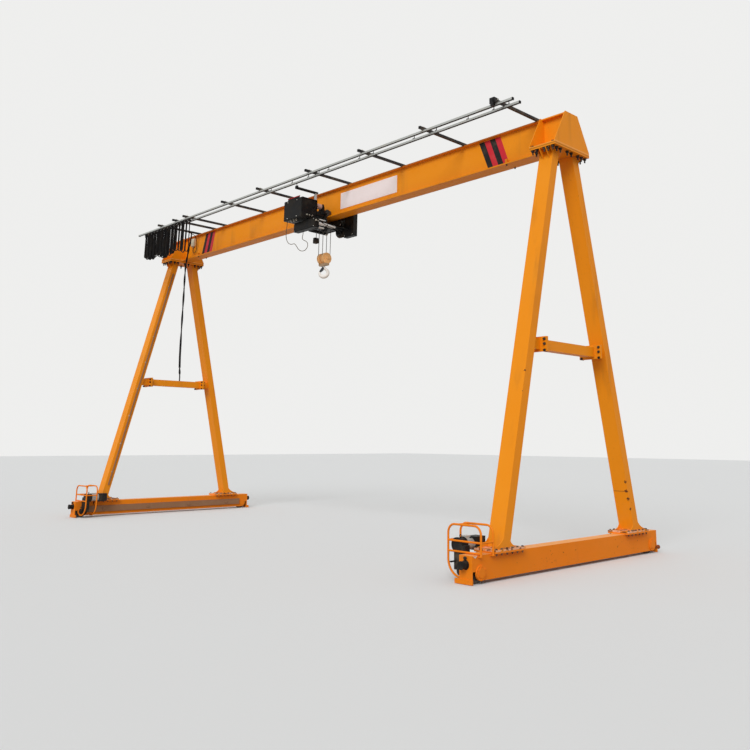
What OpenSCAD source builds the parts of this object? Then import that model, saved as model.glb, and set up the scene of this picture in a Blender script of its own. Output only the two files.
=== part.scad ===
// Single-girder gantry crane with a low-headroom rope hoist, in millimetres.
// X runs along the girder, Y along the two carriages, Z up from the floor.
// The origin is on the floor, midway between the four wheels.

/* [Portal] */
// Distance between the centre lines of the two carriages
span = 11000; // [8000:100:13000]
// Height of the girder's underside above the floor
clear_height = 5790; // [5200:10:6600]
// Depth of the girder
girder_h = 530; // [460:10:640]
// Width of the girder's flanges
girder_w = 250; // [220:2:300]
// Distance between the outer faces of the two webs
web_span = 130; // [110:2:150]
// Thickness of a web plate
web_t = 8; // [6:1:12]
// Thickness of a girder flange
flange_t = 20; // [12:1:24]

/* [Saddles] */
// Length of the saddle's base plate across the girder
saddle_l = 860; // [760:10:940]
// Width of the saddle's base plate along the girder
saddle_w = 455; // [400:5:480]
// How far the saddle's outer edge lies outside the carriage's centre line
saddle_out = 240; // [200:5:260]
// Width of the saddle's plates at the top of the girder
saddle_top = 310; // [290:5:360]
// Thickness of the saddle's upright plates
saddle_t = 12; // [8:1:16]
// Thickness of each of the two plates bolted together under the girder
head_t = 25; // [16:1:30]
// Radius of the drain and weld hole in the saddle's upright plates
cope_r = 18; // [10:1:24]

/* [Legs] */
// Width of a leg along the girder
leg_w = 240; // [200:5:280]
// Depth of a leg along the carriage
leg_d = 140; // [120:5:160]
// Distance of a leg's centre from the girder's centre plane, at its foot
leg_foot = 1500; // [1400:10:1580]
// Distance of a leg's centre from the girder's centre plane, at its head
leg_head = 230; // [210:5:280]
// Length of a foot plate along the carriage
foot_l = 560; // [520:5:600]
// Width of a foot plate along the girder
foot_w = 340; // [300:5:380]
// How far the foot plate's middle lies inwards of the leg's centre
foot_shift = 30; // [0:5:40]
// Thickness of each of the two foot plates
foot_t = 20; // [12:1:25]
// Thickness of the curved fins at the foot and the head
fin_t = 12; // [8:1:16]
// Radius of the long fin at the foot
fin_r = 285; // [240:5:320]
// Radius of the short fins at the foot and the head
fin_small_r = 130; // [90:5:140]

/* [Cross ties] */
// Height of the tie's centre line above the floor
tie_z = 2880; // [2400:10:3400]
// Side of the tie's square section
tie_a = 140; // [120:5:160]
// Distance of the bolted joint from the girder's centre plane
tie_joint = 650; // [560:10:700]
// Width of a tie flange along the girder
tie_flange_w = 360; // [330:5:400]
// Height of a tie flange
tie_flange_h = 200; // [180:5:240]
// Thickness of a tie flange
tie_flange_t = 18; // [12:1:24]

/* [Carriages] */
// Length of a carriage beam
carriage_l = 4160; // [4000:10:4400]
// Width of a carriage beam
carriage_w = 200; // [180:5:220]
// Depth of a carriage beam
carriage_h = 280; // [260:5:310]
// Gap between the floor and a carriage beam
carriage_gap = 40; // [34:1:50]
// Wall of a carriage beam
carriage_t = 10; // [8:1:14]
// Diameter of a travel wheel
wheel_d = 250; // [230:5:260]
// Width of a wheel's tread
wheel_w = 80; // [60:5:90]
// Height of the wheel's flanges over its tread
flange_h = 14; // [10:1:18]
// Distance of a wheel's axle from the end of its beam
wheel_inset = 138; // [135:1:160]
// Diameter of a wheel's axle
axle_d = 60; // [50:5:70]
// Radius of the round bearing housing
bearing_r = 86; // [80:1:95]
// How far the bearing housing stands out of the beam's side
bearing_out = 14; // [8:1:20]
// Radius of the bearing's cover
cover_r = 58; // [50:1:66]
// Thickness of the bearing's cover
cover_t = 8; // [5:1:12]
// Radius of a rubber buffer
buffer_r = 48; // [40:1:60]
// Length of a rubber buffer
buffer_l = 92; // [60:2:120]
// Height of the buffers above the floor
buffer_z = 218; // [190:2:240]
// Height of the rail sweeper's blade
sweeper_h = 55; // [40:1:70]
// How far the blade reaches past the beam on its inner side
sweeper_reach = 65; // [40:5:90]

/* [Drive guard] */
// Radius of the guard's tube
guard_r = 13; // [10:1:15]
// Height of the guard's top rail above the floor
guard_top = 640; // [620:5:700]
// How far the guard's post stands inwards of the carriage's centre line
guard_in = 370; // [360:5:400]
// How far the guard's post stands outwards of the carriage's centre line
guard_out = 145; // [135:5:160]
// Bend radius of the guard's top corners
guard_bend = 100; // [70:5:120]
// Bend radius of the guard's lower corner
guard_sweep = 200; // [150:5:230]
// Distance between the two hoops of a guard
guard_pitch = 217; // [190:1:230]

/* [Hoist] */
// Radius of a trolley wheel
roller_r = 60; // [50:1:70]
// Distance between the trolley's front and rear wheels
roller_pitch = 450; // [420:10:480]
// Distance of the trolley's side plates from the girder's centre plane
cheek_y = 175; // [165:5:190]
// Thickness of the trolley's side plates
cheek_t = 15; // [10:1:20]
// Radius of the rope drum
drum_r = 110; // [90:2:120]
// Diameter of a sheave in the hook block
sheave_d = 200; // [180:5:220]
// Distance between the hook block's two sheaves
sheave_pitch = 120; // [100:5:140]
// Height of the sheaves' axle below the girder's underside
block_drop = 760; // [740:10:1200]
// Diameter of the hoist rope
rope_d = 12; // [8:1:14]
// Radius of the hook's bowl, to the middle of the steel
hook_r = 80; // [72:1:86]

// Length of the control box along the girder
control_l = 570; // [480:10:620]
// Width of the control box across the girder
control_w = 350; // [300:10:380]
// Height of the control box
control_h = 380; // [320:10:420]
// Distance of the control box's near face from the girder's centre plane
control_y = 750; // [700:10:800]
// Height of the control box's underside over the girder's underside, negative below it
control_low = -110; // [-160:10:-60]
// Length of the brake resistor box below it
lower_l = 640; // [560:10:660]
// Height of the brake resistor box
lower_h = 180; // [140:10:220]
// Height of the cross tubes' centre line below the girder's underside
tube_drop = 178; // [160:2:200]
// Radius of the cross tubes
tube_r = 32; // [26:1:36]
// Height of the rope yoke's underside below the girder's underside
yoke_drop = 190; // [180:5:230]
// Drop of the trolley's side plates below the girder
cheek_drop = 290; // [280:5:310]
// Length of the drum housing along the girder
housing_l = 285; // [260:5:320]
// Width of the drum housing across the girder
housing_w = 95; // [85:5:130]
// Height of the drum housing
housing_h = 460; // [400:10:500]
// Radius of the hoist motor
motor_r = 90; // [76:1:96]

/* [Fittings] */
// Length of the bare sign plate
sign_l = 1556; // [1200:10:1800]
// Height of the bare sign plate
sign_h = 315; // [240:5:340]
// Distance of the sign plate's near edge from the middle of the girder
sign_x = 536; // [300:10:700]
// Distance of the trolley's end stops from the middle of the girder
stop_x = 4600; // [4000:50:4700]
// Width of the cable duct on the left carriage
duct_h = 125; // [90:5:140]
// Depth of the cable duct on the left carriage
duct_t = 30; // [20:2:40]
// Width of the conduit on the left near leg
conduit_w = 24; // [16:2:32]

/* [Festoon] */
// Side of an arm's square tube
arm_a = 40; // [30:2:50]
// Reach of the arms from the girder's centre plane
arm_reach = 1130; // [1100:5:1200]
// Distance of the outer rail from the girder's centre plane
rail_outer = 1040; // [1010:5:1060]
// Distance of the inner rail from the girder's centre plane
rail_inner = 880; // [840:5:900]
// Width of a festoon rail
rail_w = 36; // [30:2:40]
// Height of a festoon rail
rail_h = 34; // [30:1:40]
// Wall of a festoon rail
rail_t = 3; // [2:0.5:4]
// Distance between two cable trolleys in the parked bundle
loop_pitch = 150; // [140:5:160]
// Depth of the parked cable loops
loop_depth = 590; // [480:5:620]
// Width of the flat cables across the rail
cable_w = 64; // [40:2:70]

/* [Hidden] */
$fn = 48;

// Seat between pieces that touch, and running fit of an axle in its bore
seat = 0.3;
fit = 0.05;

paint = "#e8912a";
black = "#1c1d20";
steel = "#9aa0a4";
grey = "#8a8378";

// Heights worked out from the driving sizes
girder_z = clear_height;
girder_top = girder_z + girder_h;
head_z = girder_z - 2 * head_t;
carriage_top = carriage_gap + carriage_h;
foot_z = carriage_top + 2 * foot_t;
web_y = web_span / 2;
wheel_r = wheel_d / 2;
axle_r = axle_d / 2;
wheel_y = carriage_l / 2 - wheel_inset;
girder_end = span / 2 + saddle_out - saddle_t;
saddle_in = span / 2 + saddle_out - saddle_w;
lean = (leg_foot - leg_head) / (head_z - foot_z);

// Height of the leg's conduit at its foot and its head
leg_low = foot_z + fin_r;
leg_high = head_z - fin_r;

// Places along the girder
arm_x = [5200, 3720, 2270, 820, -720, -1980, -3530, -3980, -4640];
rail_right = 5470;
rail_left = -5720;
bundle_x = -5360;
bundle_n = 14;

// Centre of a leg at a height
function leg_y(z) = leg_foot - lean * (z - foot_z);

// Box from its lowest to its highest corner
module block(x, y, z) {
    translate([x[0], y[0], z[0]]) cube([x[1] - x[0], y[1] - y[0], z[1] - z[0]]);
}

// Plate cut from a YZ outline, centred on x
module yz_plate(x, t) {
    translate([x - t / 2, 0, 0]) rotate([90, 0, 90]) linear_extrude(t) children();
}

// Plate cut from an XZ outline, from y to y + t
module xz_plate(y, t) {
    translate([0, y + t, 0]) rotate([90, 0, 0]) linear_extrude(t) children();
}

module rod_x(r, x, y, z) {
    translate([x[0], y, z]) rotate([0, 90, 0]) cylinder(r = r, h = x[1] - x[0]);
}

module rod_y(r, x, y, z) {
    translate([x, y[0], z]) rotate([-90, 0, 0]) cylinder(r = r, h = y[1] - y[0]);
}

module rod_z(r, x, y, z) {
    translate([x, y, z[0]]) cylinder(r = r, h = z[1] - z[0]);
}

// Right-hand side of the crane, or its mirror image on the left
module on_side(side) {
    if (side > 0) translate([span / 2, 0, 0]) children();
    else mirror([1, 0, 0]) translate([span / 2, 0, 0]) children();
}

// Far end of a carriage, or its mirror image at the near end
module at_end(end) {
    if (end > 0) children();
    else mirror([0, 1, 0]) children();
}

// Tube swept along a list of points
function unit(v) = v / norm(v);
function tangent(p, i) = unit(p[min(i + 1, len(p) - 1)] - p[max(i - 1, 0)]);
function side_of(t) = unit(cross(t, abs(t[2]) > 0.9 ? [1, 0, 0] : [0, 0, 1]));
function carry(p, i) = i == 0 ? side_of(tangent(p, 0)) :
    let (t = tangent(p, i), s = carry(p, i - 1)) unit(s - (s * t) * t);
function ring(c, t, s, r, n) = let (w = cross(t, s))
    [for (k = [0:n - 1]) c + r * (cos(k * 360 / n) * s + sin(k * 360 / n) * w)];
module tube(p, r, n) {
    pts = [for (i = [0:len(p) - 1]) each ring(p[i], tangent(p, i), carry(p, i), r[i], n)];
    m = len(p);
    faces = concat([[for (k = [0:n - 1]) k]], [[for (k = [n - 1:-1:0]) (m - 1) * n + k]],
        [for (i = [0:m - 2]) for (k = [0:n - 1])
            [i * n + k, (i + 1) * n + k, (i + 1) * n + (k + 1) % n, i * n + (k + 1) % n]]);
    polyhedron(points = pts, faces = faces);
}
// Girder and saddles

module main_girder() {
    color(paint) {
        block([-girder_end, girder_end], [-girder_w / 2, girder_w / 2], [girder_z, girder_z + flange_t]);
        block([-girder_end, girder_end], [-girder_w / 2, girder_w / 2], [girder_top - flange_t, girder_top]);
        for (s = [-1, 1])
            block([-girder_end, girder_end], s > 0 ? [web_y - web_t, web_y] : [-web_y, web_t - web_y],
                [girder_z, girder_top]);
    }
}

module saddle_outline() {
    polygon([[-saddle_l / 2, 0], [saddle_l / 2, 0], [saddle_l / 2, head_t],
        [saddle_top / 2, girder_h], [-saddle_top / 2, girder_h], [-saddle_l / 2, head_t]]);
}

// The girder's own section with seating room, cut out of the inner plate
module girder_cut() {
    translate([0, girder_h / 2]) {
        square([web_span + 2 * seat, girder_h + 2], center = true);
        for (s = [-1, 1])
            translate([0, s * (girder_h / 2 - flange_t / 2)])
                square([girder_w + 2 * seat, flange_t + 2 * seat], center = true);
    }
}

module saddle() {
    color(paint) {
        translate([saddle_in - span / 2, -saddle_l / 2, girder_z - head_t])
            cube([saddle_w, saddle_l, head_t]);
        yz_plate(saddle_out - saddle_t / 2, saddle_t) translate([0, girder_z]) saddle_outline();
        yz_plate(saddle_in - span / 2 + saddle_t / 2, saddle_t) translate([0, girder_z])
            difference() {
                saddle_outline();
                girder_cut();
                for (s = [-1, 1]) translate([s * (girder_w / 2 + 2 * cope_r), 2 * cope_r]) circle(cope_r);
            }
    }
}

module head_plates() {
    color(paint) for (s = [-1, 1]) on_side(s) {
        translate([saddle_in - span / 2, -saddle_l / 2, head_z]) cube([saddle_w, saddle_l, head_t]);
    }
}

module leg() {
    face = leg_foot + leg_d / 2;
    edge = leg_foot + foot_l / 2 - foot_shift;
    color(paint) {
        yz_plate(0, leg_w) polygon([[leg_foot - leg_d / 2, foot_z], [leg_foot + leg_d / 2, foot_z],
            [leg_head + leg_d / 2, head_z], [leg_head - leg_d / 2, head_z]]);
        block([-foot_w / 2, foot_w / 2], [edge - foot_l, edge], [foot_z - foot_t, foot_z]);
        for (s = [-1, 1]) {
            x = s * (leg_w - fin_t) / 2;
            yz_plate(x, fin_t) translate([0, foot_z]) difference() {
                polygon([[face - leg_d / 2, 0], [edge, 0], [edge, fin_r + fin_t],
                    [leg_y(foot_z + fin_r), fin_r + fin_t]]);
                translate([edge + fin_t, fin_r + fin_t]) circle(fin_r);
            }
            yz_plate(x, fin_t) translate([leg_foot - leg_d / 2, foot_z]) difference() {
                translate([-fin_small_r, 0]) square([fin_small_r + leg_d / 2, fin_small_r]);
                translate([-fin_small_r, fin_small_r + fin_t]) circle(fin_small_r);
            }
            yz_plate(x, fin_t) translate([leg_head + leg_d / 2, head_z - fin_small_r]) difference() {
                translate([-leg_d / 2, 0]) square([fin_small_r + leg_d / 2 - fin_t, fin_small_r]);
                translate([fin_small_r, -fin_t]) circle(fin_small_r);
            }
        }
        block([-tie_a / 2, tie_a / 2], [tie_joint, leg_y(tie_z)], [tie_z - tie_a / 2, tie_z + tie_a / 2]);
        block([-tie_flange_w / 2, tie_flange_w / 2], [tie_joint, tie_joint + tie_flange_t],
            [tie_z - tie_flange_h / 2, tie_z + tie_flange_h / 2]);
    }
}

module tie() {
    color(paint) {
        block([-tie_a / 2, tie_a / 2], [-tie_joint, tie_joint], [tie_z - tie_a / 2, tie_z + tie_a / 2]);
        for (e = [-1, 1]) at_end(e)
            block([-tie_flange_w / 2, tie_flange_w / 2], [tie_joint - tie_flange_t, tie_joint],
                [tie_z - tie_flange_h / 2, tie_z + tie_flange_h / 2]);
    }
}

// Carriages

module carriage_side() {
    open_h = wheel_r + 20 - carriage_gap;
    difference() {
        translate([-carriage_l / 2, carriage_gap]) square([carriage_l, carriage_h]);
        for (e = [-1, 1]) translate([e * (carriage_l / 2 - wheel_inset / 2), carriage_gap + open_h / 2])
            square([wheel_inset, open_h], center = true);
    }
    for (e = [-1, 1]) translate([e * wheel_y, wheel_r]) circle(bearing_r);
}

module carriage() {
    half = carriage_l / 2;
    pit = wheel_y - wheel_r - 30;
    color(paint) difference() {
        union() {
            for (s = [-1, 1]) yz_plate(s * (carriage_w - carriage_t) / 2, carriage_t) carriage_side();
            block([-carriage_w / 2, carriage_w / 2], [-half, half], [carriage_top - carriage_t, carriage_top]);
            block([-carriage_w / 2, carriage_w / 2], [-pit, pit], [carriage_gap, carriage_gap + carriage_t]);
            for (e = [-1, 1]) at_end(e) {
                block([-carriage_w / 2, carriage_w / 2], [pit - carriage_t, pit], [carriage_gap, carriage_top]);
                block([-foot_w / 2, foot_w / 2],
                    [leg_foot - foot_l / 2 - foot_shift, leg_foot + foot_l / 2 - foot_shift],
                    [carriage_top, carriage_top + foot_t]);
                rod_x(bearing_r, [carriage_w / 2 - carriage_t, carriage_w / 2 + bearing_out], wheel_y, wheel_r);
            }
        }
        for (e = [-1, 1])
            rod_x(axle_r + fit, [-carriage_w, carriage_w], e * wheel_y, wheel_r);
    }
}

module bearing_cover_set() {
    for (e = [-1, 1]) rod_x(cover_r, [carriage_w / 2 + bearing_out, carriage_w / 2 + bearing_out + cover_t],
        e * wheel_y, wheel_r);
    rod_x(cover_r, [-carriage_w / 2 - cover_t, -carriage_w / 2], wheel_y, wheel_r);
}

module bearing_covers() {
    color(paint) for (s = [-1, 1]) on_side(s) bearing_cover_set();
}

// Double-flanged travel wheel with its hub and axle, turned about the X axis
module wheel(inner, outer) {
    hub_r = axle_r * 1.6;
    hub = wheel_w / 2 + 20;
    half = wheel_w / 2;
    web = wheel_w / 4;
    rim = wheel_r - 38;
    tread = wheel_r - flange_h;
    profile = [[0, hub], [hub_r, hub], [hub_r, web], [rim, web], [rim, half], [wheel_r - 3, half], [wheel_r, half - 3],
        [wheel_r, half - 10], [tread, half - 16]];
    color(black) translate([0, 0, wheel_r]) rotate([0, 90, 0]) rotate_extrude()
        polygon(concat([for (q = profile) [q[0], -q[1]]], [for (k = [len(profile) - 1:-1:0]) profile[k]]));
    color(steel) rod_x(axle_r, [-inner, outer], 0, wheel_r);
}

module wheel_at(side, end) {
    outer = carriage_w / 2 + bearing_out - 1;
    inner = end > 0 ? carriage_w / 2 - 1 : carriage_w / 2 + 20;
    on_side(side) translate([0, end * wheel_y, 0]) wheel(inner, outer);
}

module sweeper_plates() {
    half = carriage_l / 2;
    color(paint) for (s = [-1, 1]) on_side(s) for (e = [-1, 1]) at_end(e) {
        block([-carriage_w / 2, carriage_w / 2], [half, half + carriage_t], [sweeper_h, carriage_top]);
        block([-carriage_w / 2 - sweeper_reach, carriage_w / 2 + 5], [half, half + 2 * carriage_t],
            [5, 5 + sweeper_h]);
    }
}

module buffer() {
    face = carriage_l / 2 + carriage_t;
    translate([0, face, buffer_z]) rotate([-90, 0, 0]) {
        cylinder(r = buffer_r + 6, h = 8);
        translate([0, 0, 8]) cylinder(r = buffer_r - 4, h = buffer_l - 20);
        translate([0, 0, buffer_l - 12]) cylinder(r = buffer_r, h = 12);
    }
}

module buffers() {
    color(black) {
        on_side(1) at_end(-1) buffer();
        for (e = [-1, 1]) on_side(-1) at_end(e) buffer();
    }
}

// Bent-tube guard round a travel drive

module elbow(x, z, r, from) {
    translate([x, 0, z]) rotate([90, 0, 0]) rotate([0, 0, from]) rotate_extrude(angle = 90)
        translate([r, 0]) circle(guard_r);
}

module hoop(y) {
    low = 50;
    translate([0, y, 0]) {
        rod_z(guard_r, guard_out, 0, [carriage_top - 20, guard_top - guard_bend]);
        elbow(guard_out - guard_bend, guard_top - guard_bend, guard_bend, 0);
        rod_x(guard_r, [guard_bend - guard_in, guard_out - guard_bend], 0, guard_top);
        elbow(guard_bend - guard_in, guard_top - guard_bend, guard_bend, 90);
        rod_z(guard_r, -guard_in, 0, [low + guard_sweep, guard_top - guard_bend]);
        elbow(guard_sweep - guard_in, low + guard_sweep, guard_sweep, 180);
        rod_x(guard_r, [guard_sweep - guard_in, -carriage_w / 2], 0, low);
        block([carriage_w / 2, guard_out + guard_r], [-guard_r, guard_r], [carriage_top - 20, carriage_top - 10]);
    }
}

module guard() {
    front = -(wheel_y + 43);
    back = front + guard_pitch;
    mid = carriage_top + 135;
    rail_r = guard_r - 1.5;
    hoop(front);
    hoop(back);
    for (z = [carriage_top + 16, mid]) rod_x(rail_r, [-guard_in, guard_out], front, z);
    for (x = [-guard_in, guard_out]) rod_y(rail_r, x, [front, back], mid);
    rod_y(rail_r, guard_bend - guard_in + 60, [front, back], guard_top);
}

module drive_guards() {
    color(paint) for (s = [-1, 1]) on_side(s) guard();
}

// Geared travel motor: gearbox on the wheel's axle, motor lying along the carriage

module drive() {
    face = -carriage_w / 2;
    gear_y = -wheel_y;
    motor_x = face - 155;
    motor_z = carriage_top + 85;
    front = gear_y - 24;
    back = gear_y + 95;
    body_l = 150;
    fan_l = 165;
    fan_a = 78;
    color(black) {
        difference() {
            union() {
                rod_x(62, [face - 120, face - seat], gear_y, wheel_r);
                rod_x(34, [face - 140, face - 120], gear_y, wheel_r);
                block([motor_x - 40, face - 20], [front, gear_y + 62], [wheel_r, motor_z]);
                rod_y(84, motor_x, [front, front + 30], motor_z);
                rod_y(76, motor_x, [front + 30, back - 12], motor_z);
                rod_y(84, motor_x, [back - 12, back], motor_z);
                block([motor_x - 30, motor_x - 8], [gear_y - 110, gear_y], [wheel_r + 88, wheel_r + 104]);
            }
            rod_x(axle_r + fit, [face - 21, face + 1], gear_y, wheel_r);
        }
        block([motor_x - fan_a, motor_x + fan_a], [back + body_l, back + body_l + fan_l],
            [motor_z - fan_a, motor_z + fan_a]);
        block([motor_x - 50, motor_x + 20], [back + 20, back + 110], [motor_z + 55, motor_z + 92]);
    }
    color(steel) difference() {
        rod_y(68, motor_x, [back, back + body_l], motor_z);
        for (k = [0:11]) translate([motor_x, 0, motor_z]) rotate([0, k * 15 - 172, 0])
            block([60, 72], [back + 14, back + body_l - 8], [-3, 3]);
    }
}

module drive_left() { on_side(-1) drive(); }
module drive_right() { on_side(1) drive(); }

// Festoon

module festoon_arms() {
    color(black) for (x = arm_x) {
        block([x - arm_a / 2, x + arm_a / 2], [-arm_reach, girder_w / 2], [girder_top, girder_top + arm_a]);
    }
}

module rail_section() {
    difference() {
        translate([-rail_w / 2, -rail_h]) square([rail_w, rail_h]);
        translate([-rail_w / 2 + rail_t, -rail_h + rail_t]) square([rail_w - 2 * rail_t, rail_h - 2 * rail_t]);
        translate([-rail_w / 5, -rail_h - 1]) square([2 * rail_w / 5, rail_t + 2]);
    }
}

module festoon_rails() {
    color(steel) for (y = [rail_outer, rail_inner])
        translate([rail_left, -y, girder_top]) rotate([90, 0, 90])
            linear_extrude(rail_right - rail_left) rail_section();
}

module cable_trolleys() {
    z = girder_top - rail_h;
    color(black) for (k = [0:bundle_n - 1]) translate([bundle_x + k * loop_pitch, -rail_outer, z]) {
        block([-20, 20], [-rail_w / 2 + rail_t + 1, rail_w / 2 - rail_t - 1], [rail_t + seat, rail_t + 14]);
        block([-14, 14], [-3, 3], [-30, rail_t + 1]);
        block([-24, 24], [-cable_w / 2 - 6, cable_w / 2 + 6], [-36, -26]);
        rod_y(18, 0, [-cable_w / 2 - 6, cable_w / 2 + 6], -52);
        block([-18, 18], [-cable_w / 2 - 6, cable_w / 2 + 6], [-52, -30]);
    }
}

// Parked cables: over each trolley's saddle and down in a long loop to the next
function loop_low(k) = loop_depth - 35 + 30 * sin(k * 67) + 25 * min(k, 3);
module festoon_outline() {
    over = 18 + seat;
    t = 26;
    under = (loop_pitch - 2 * over) / 2;
    for (k = [0:bundle_n - 2]) translate([k * loop_pitch, 0]) {
        for (x = [over, loop_pitch - over - t]) translate([x, -loop_low(k)]) square([t, loop_low(k) - 52]);
        translate([loop_pitch / 2, -loop_low(k)]) difference() {
            circle(under);
            circle(under - t);
            translate([-under, 0]) square(2 * under);
        }
    }
}

module festoon_cable() {
    color(black) translate([bundle_x, cable_w / 2 - rail_outer, girder_top - rail_h]) rotate([90, 0, 0])
        linear_extrude(cable_w) festoon_outline();
}

module end_clamp() {
    x = arm_x[0] - arm_a / 2 - seat;
    color(black) {
        block([x - 90, x], [-rail_outer - 50, -rail_outer + 50], [girder_top + seat, girder_top + 88]);
        block([x - 75, x - 15], [-rail_outer - 50, -rail_outer - rail_w / 2 - seat],
            [girder_top - rail_h, girder_top + seat]);
    }
}

// Cables

// Each point: distance in from the carriage's centre line, distance from the girder's centre plane, and
// share of the height from the tie's top face up to the arm
supply_r = 14;
supply_low = tie_z + tie_a / 2 + seat;
supply_high = girder_top - seat;
supply_route = [[860, -300, 1], [860, -300, 0.985], [830, -290, 0.955], [755, -266, 0.925], [665, -240, 0.89],
    [580, -214, 0.85], [510, -192, 0.81], [460, -176, 0.77], [420, -155, 0.70], [380, -130, 0.61], [335, -103, 0.5],
    [290, -76, 0.39], [240, -45, 0.27], [190, -12, 0.165], [145, 25, 0.09], [105, 60, 0.045], [65, 88, 0.024],
    [50, 95, 0.012], [50, 95, 0]];
supply_points = [for (q = supply_route)
    [q[0] - span / 2, q[1], supply_low + q[2] * (supply_high - supply_low)]];
hoist_cable_r = 6;
// Points along X and Y, and below the girder's underside
hoist_cable_route = [[-300, -680, 110.3], [-300, -680, 150], [-306, -679, 200], [-318, -678, 270],
    [-325, -675, 390], [-290, -668, 490], [-230, -662, 545], [-160, -655, 565], [-93, -645, 565], [-45, -635, 610],
    [10, -625, 680], [70, -618, 720], [140, -608, 735], [210, -598, 715], [245, -588, 660], [225, -576, 595],
    [160, -565, 545], [80, -555, 510], [20, -545, 470], [-5, -530, 420], [-10, -515, 370], [-10, -515, 320.6]];
hoist_cable_points = [for (q = hoist_cable_route) [q[0], q[1], girder_z - q[2]]];

module supply_cable() {
    color(black) tube(supply_points, [for (p = supply_points) supply_r], 10);
}

module hoist_cable() {
    color(grey) tube(hoist_cable_points, [for (p = hoist_cable_points) hoist_cable_r], 8);
}

module conduits() {
    half = wheel_y - cover_r - 30;
    color(grey) {
        on_side(-1) {
            translate([-carriage_w / 2 - duct_t, -half, carriage_gap + carriage_t + 50])
                cube([duct_t, 2 * half, duct_h]);
            for (y = [-0.8, -0.27, 0.27, 0.8])
                rod_x(duct_h / 4, [-carriage_w / 2 - duct_t - 14, -carriage_w / 2 - duct_t], y * half,
                    carriage_gap + carriage_t + 50 + duct_h / 2);
            at_end(-1) yz_plate(-leg_w / 2 - conduit_w / 2, conduit_w) polygon([
                [leg_y(leg_low) - conduit_w / 2, leg_low], [leg_y(leg_low) + conduit_w / 2, leg_low],
                [leg_y(leg_high) + conduit_w / 2, leg_high], [leg_y(leg_high) - conduit_w / 2, leg_high]]);
        }
    }
}

// Fittings on the girder

module sign_plate() {
    color("white") block([sign_x, sign_x + sign_l], [-web_y - 4, -web_y],
        [girder_z + (girder_h - sign_h) / 2, girder_z + (girder_h + sign_h) / 2]);
}

module end_stops() {
    color(black) for (s = [-1, 1]) for (e = [-1, 1]) {
        translate([s * stop_x, e * (girder_w / 2 - 22), girder_z + flange_t]) {
            translate([-20, -18, 0]) cube([40, 36, 60]);
        }
        rod_z(11, s * stop_x, e * (girder_w / 2 - 22), [girder_z - 22, girder_z]);
    }
}

module junction_box() {
    color("#d9d2c0") block([-stop_x - 370, -stop_x - 240], [-web_y - 45, -web_y], [girder_top - 245, girder_top - 55]);
}

// Hoist: electric boxes on the near side, drum and motor on the far side of the girder.
// Its heights are counted from the girder's underside.

// Centre of the trolley's four wheels, and the side plates' reach along the girder
hoist_x = -15;
cheek_half = roller_pitch / 2 + roller_r;
cheek_out = cheek_y + cheek_t;
cheek_right = hoist_x + cheek_half + 15;
roller_up = flange_t + roller_r + seat;
tube_x = hoist_x + cheek_half - 5;
boss_x = hoist_x + 255;
yoke_h = 100;
// Drum and its gear housing
drum_y = cheek_out + 210;
drum_up = 15;
housing_x = 285;
housing_y = cheek_out + 45;
housing_up = -350;
lid_t = 6;
motor_y = housing_y + 90;
motor_up = housing_up + 145;
motor_l = 250;
box_left = -320;
lower_w = 110;
bracket = 40;
lower_back = -control_y + 150 + lower_w;

module at_girder() {
    translate([0, 0, girder_z]) children();
}

module cheek_outline() {
    left = hoist_x - cheek_half;
    low = -cheek_drop;
    step = hoist_x + 250;
    polygon([[left, low + 150], [left + 60, low + 90], [step - 130, low + 90], [step - 90, low], [step, low],
        [step, low + 70], [cheek_right, low + 90], [cheek_right, -70], [cheek_right - 40, -30], [cheek_right - 40, roller_up - 20],
        [cheek_right - 100, roller_up + 30], [cheek_right - 100, roller_up + 110], [cheek_right - 130, roller_up + 180],
        [cheek_right - 230, roller_up + 180], [hoist_x + 35, roller_up + 75], [left + 50, roller_up + 75],
        [left, roller_up]]);
}

module trolley_frame() {
    inner = cheek_y + 1;
    color(black) at_girder() {
        for (e = [-1, 1]) at_end(e) difference() {
            xz_plate(cheek_y, cheek_t) cheek_outline();
            for (x = [-1, 1])
                rod_y(20 + fit, hoist_x + x * roller_pitch / 2, [cheek_y - 1, cheek_out + 1], roller_up);
        }
        block([-130, 130], [-inner, inner], [-yoke_drop, yoke_h - yoke_drop]);
        block([100, tube_x], [-25, 25], [-tube_drop - 12, 12 - tube_drop]);
        rod_y(62, boss_x, [-cheek_out - 30, -inner], 40 - cheek_drop);
    }
    color(steel) at_girder() {
        rod_y(tube_r, tube_x, [lower_back + seat, cheek_out + 15], -tube_drop);
        rod_y(tube_r, hoist_x - cheek_half + 45, [-cheek_out, cheek_out + 60], -tube_drop);
        rod_y(12, tube_x - 20, [-control_y + control_w + seat, -inner], 85 - tube_drop);
        rod_y(18, boss_x, [lower_back + seat, -inner], 45 - cheek_drop);
    }
}

module trolley_wheels() {
    color(steel) at_girder() for (x = [-1, 1]) for (e = [-1, 1]) at_end(e)
        translate([hoist_x + x * roller_pitch / 2, 0, roller_up]) {
            rod_y(roller_r, 0, [web_y + 15, girder_w / 2 + 5.5], 0);
            rod_y(roller_r + 12, 0, [girder_w / 2 + 5.5, girder_w / 2 + 17], 0);
            rod_y(20, 0, [web_y + 15, cheek_out + 8], 0);
        }
}

module travel_motor() {
    x = hoist_x + roller_pitch / 2;
    near = -cheek_out - 8 - seat;
    color(black) at_girder() {
        rod_y(48, x, [near - 50, near], roller_up);
        block([x - 80, x - 10], [near - 50, near], [roller_up, roller_up + 150]);
    }
    color("#c9a9a0") at_girder() rod_y(52, x - 55, [near - 185, near - 50], roller_up + 110);
}

// Box with a recessed end, a lid proud of its near face and brackets back to the side plate
module electric_box(x, w, low, h, lid) {
    near = -control_y + lid;
    block([x[0], x[1]], [near, near + w], [low, low + h]);
    block([x[0] + 12, x[1] - 12], [near - lid_t, near], [low + 12, low + h - 12]);
}

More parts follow.
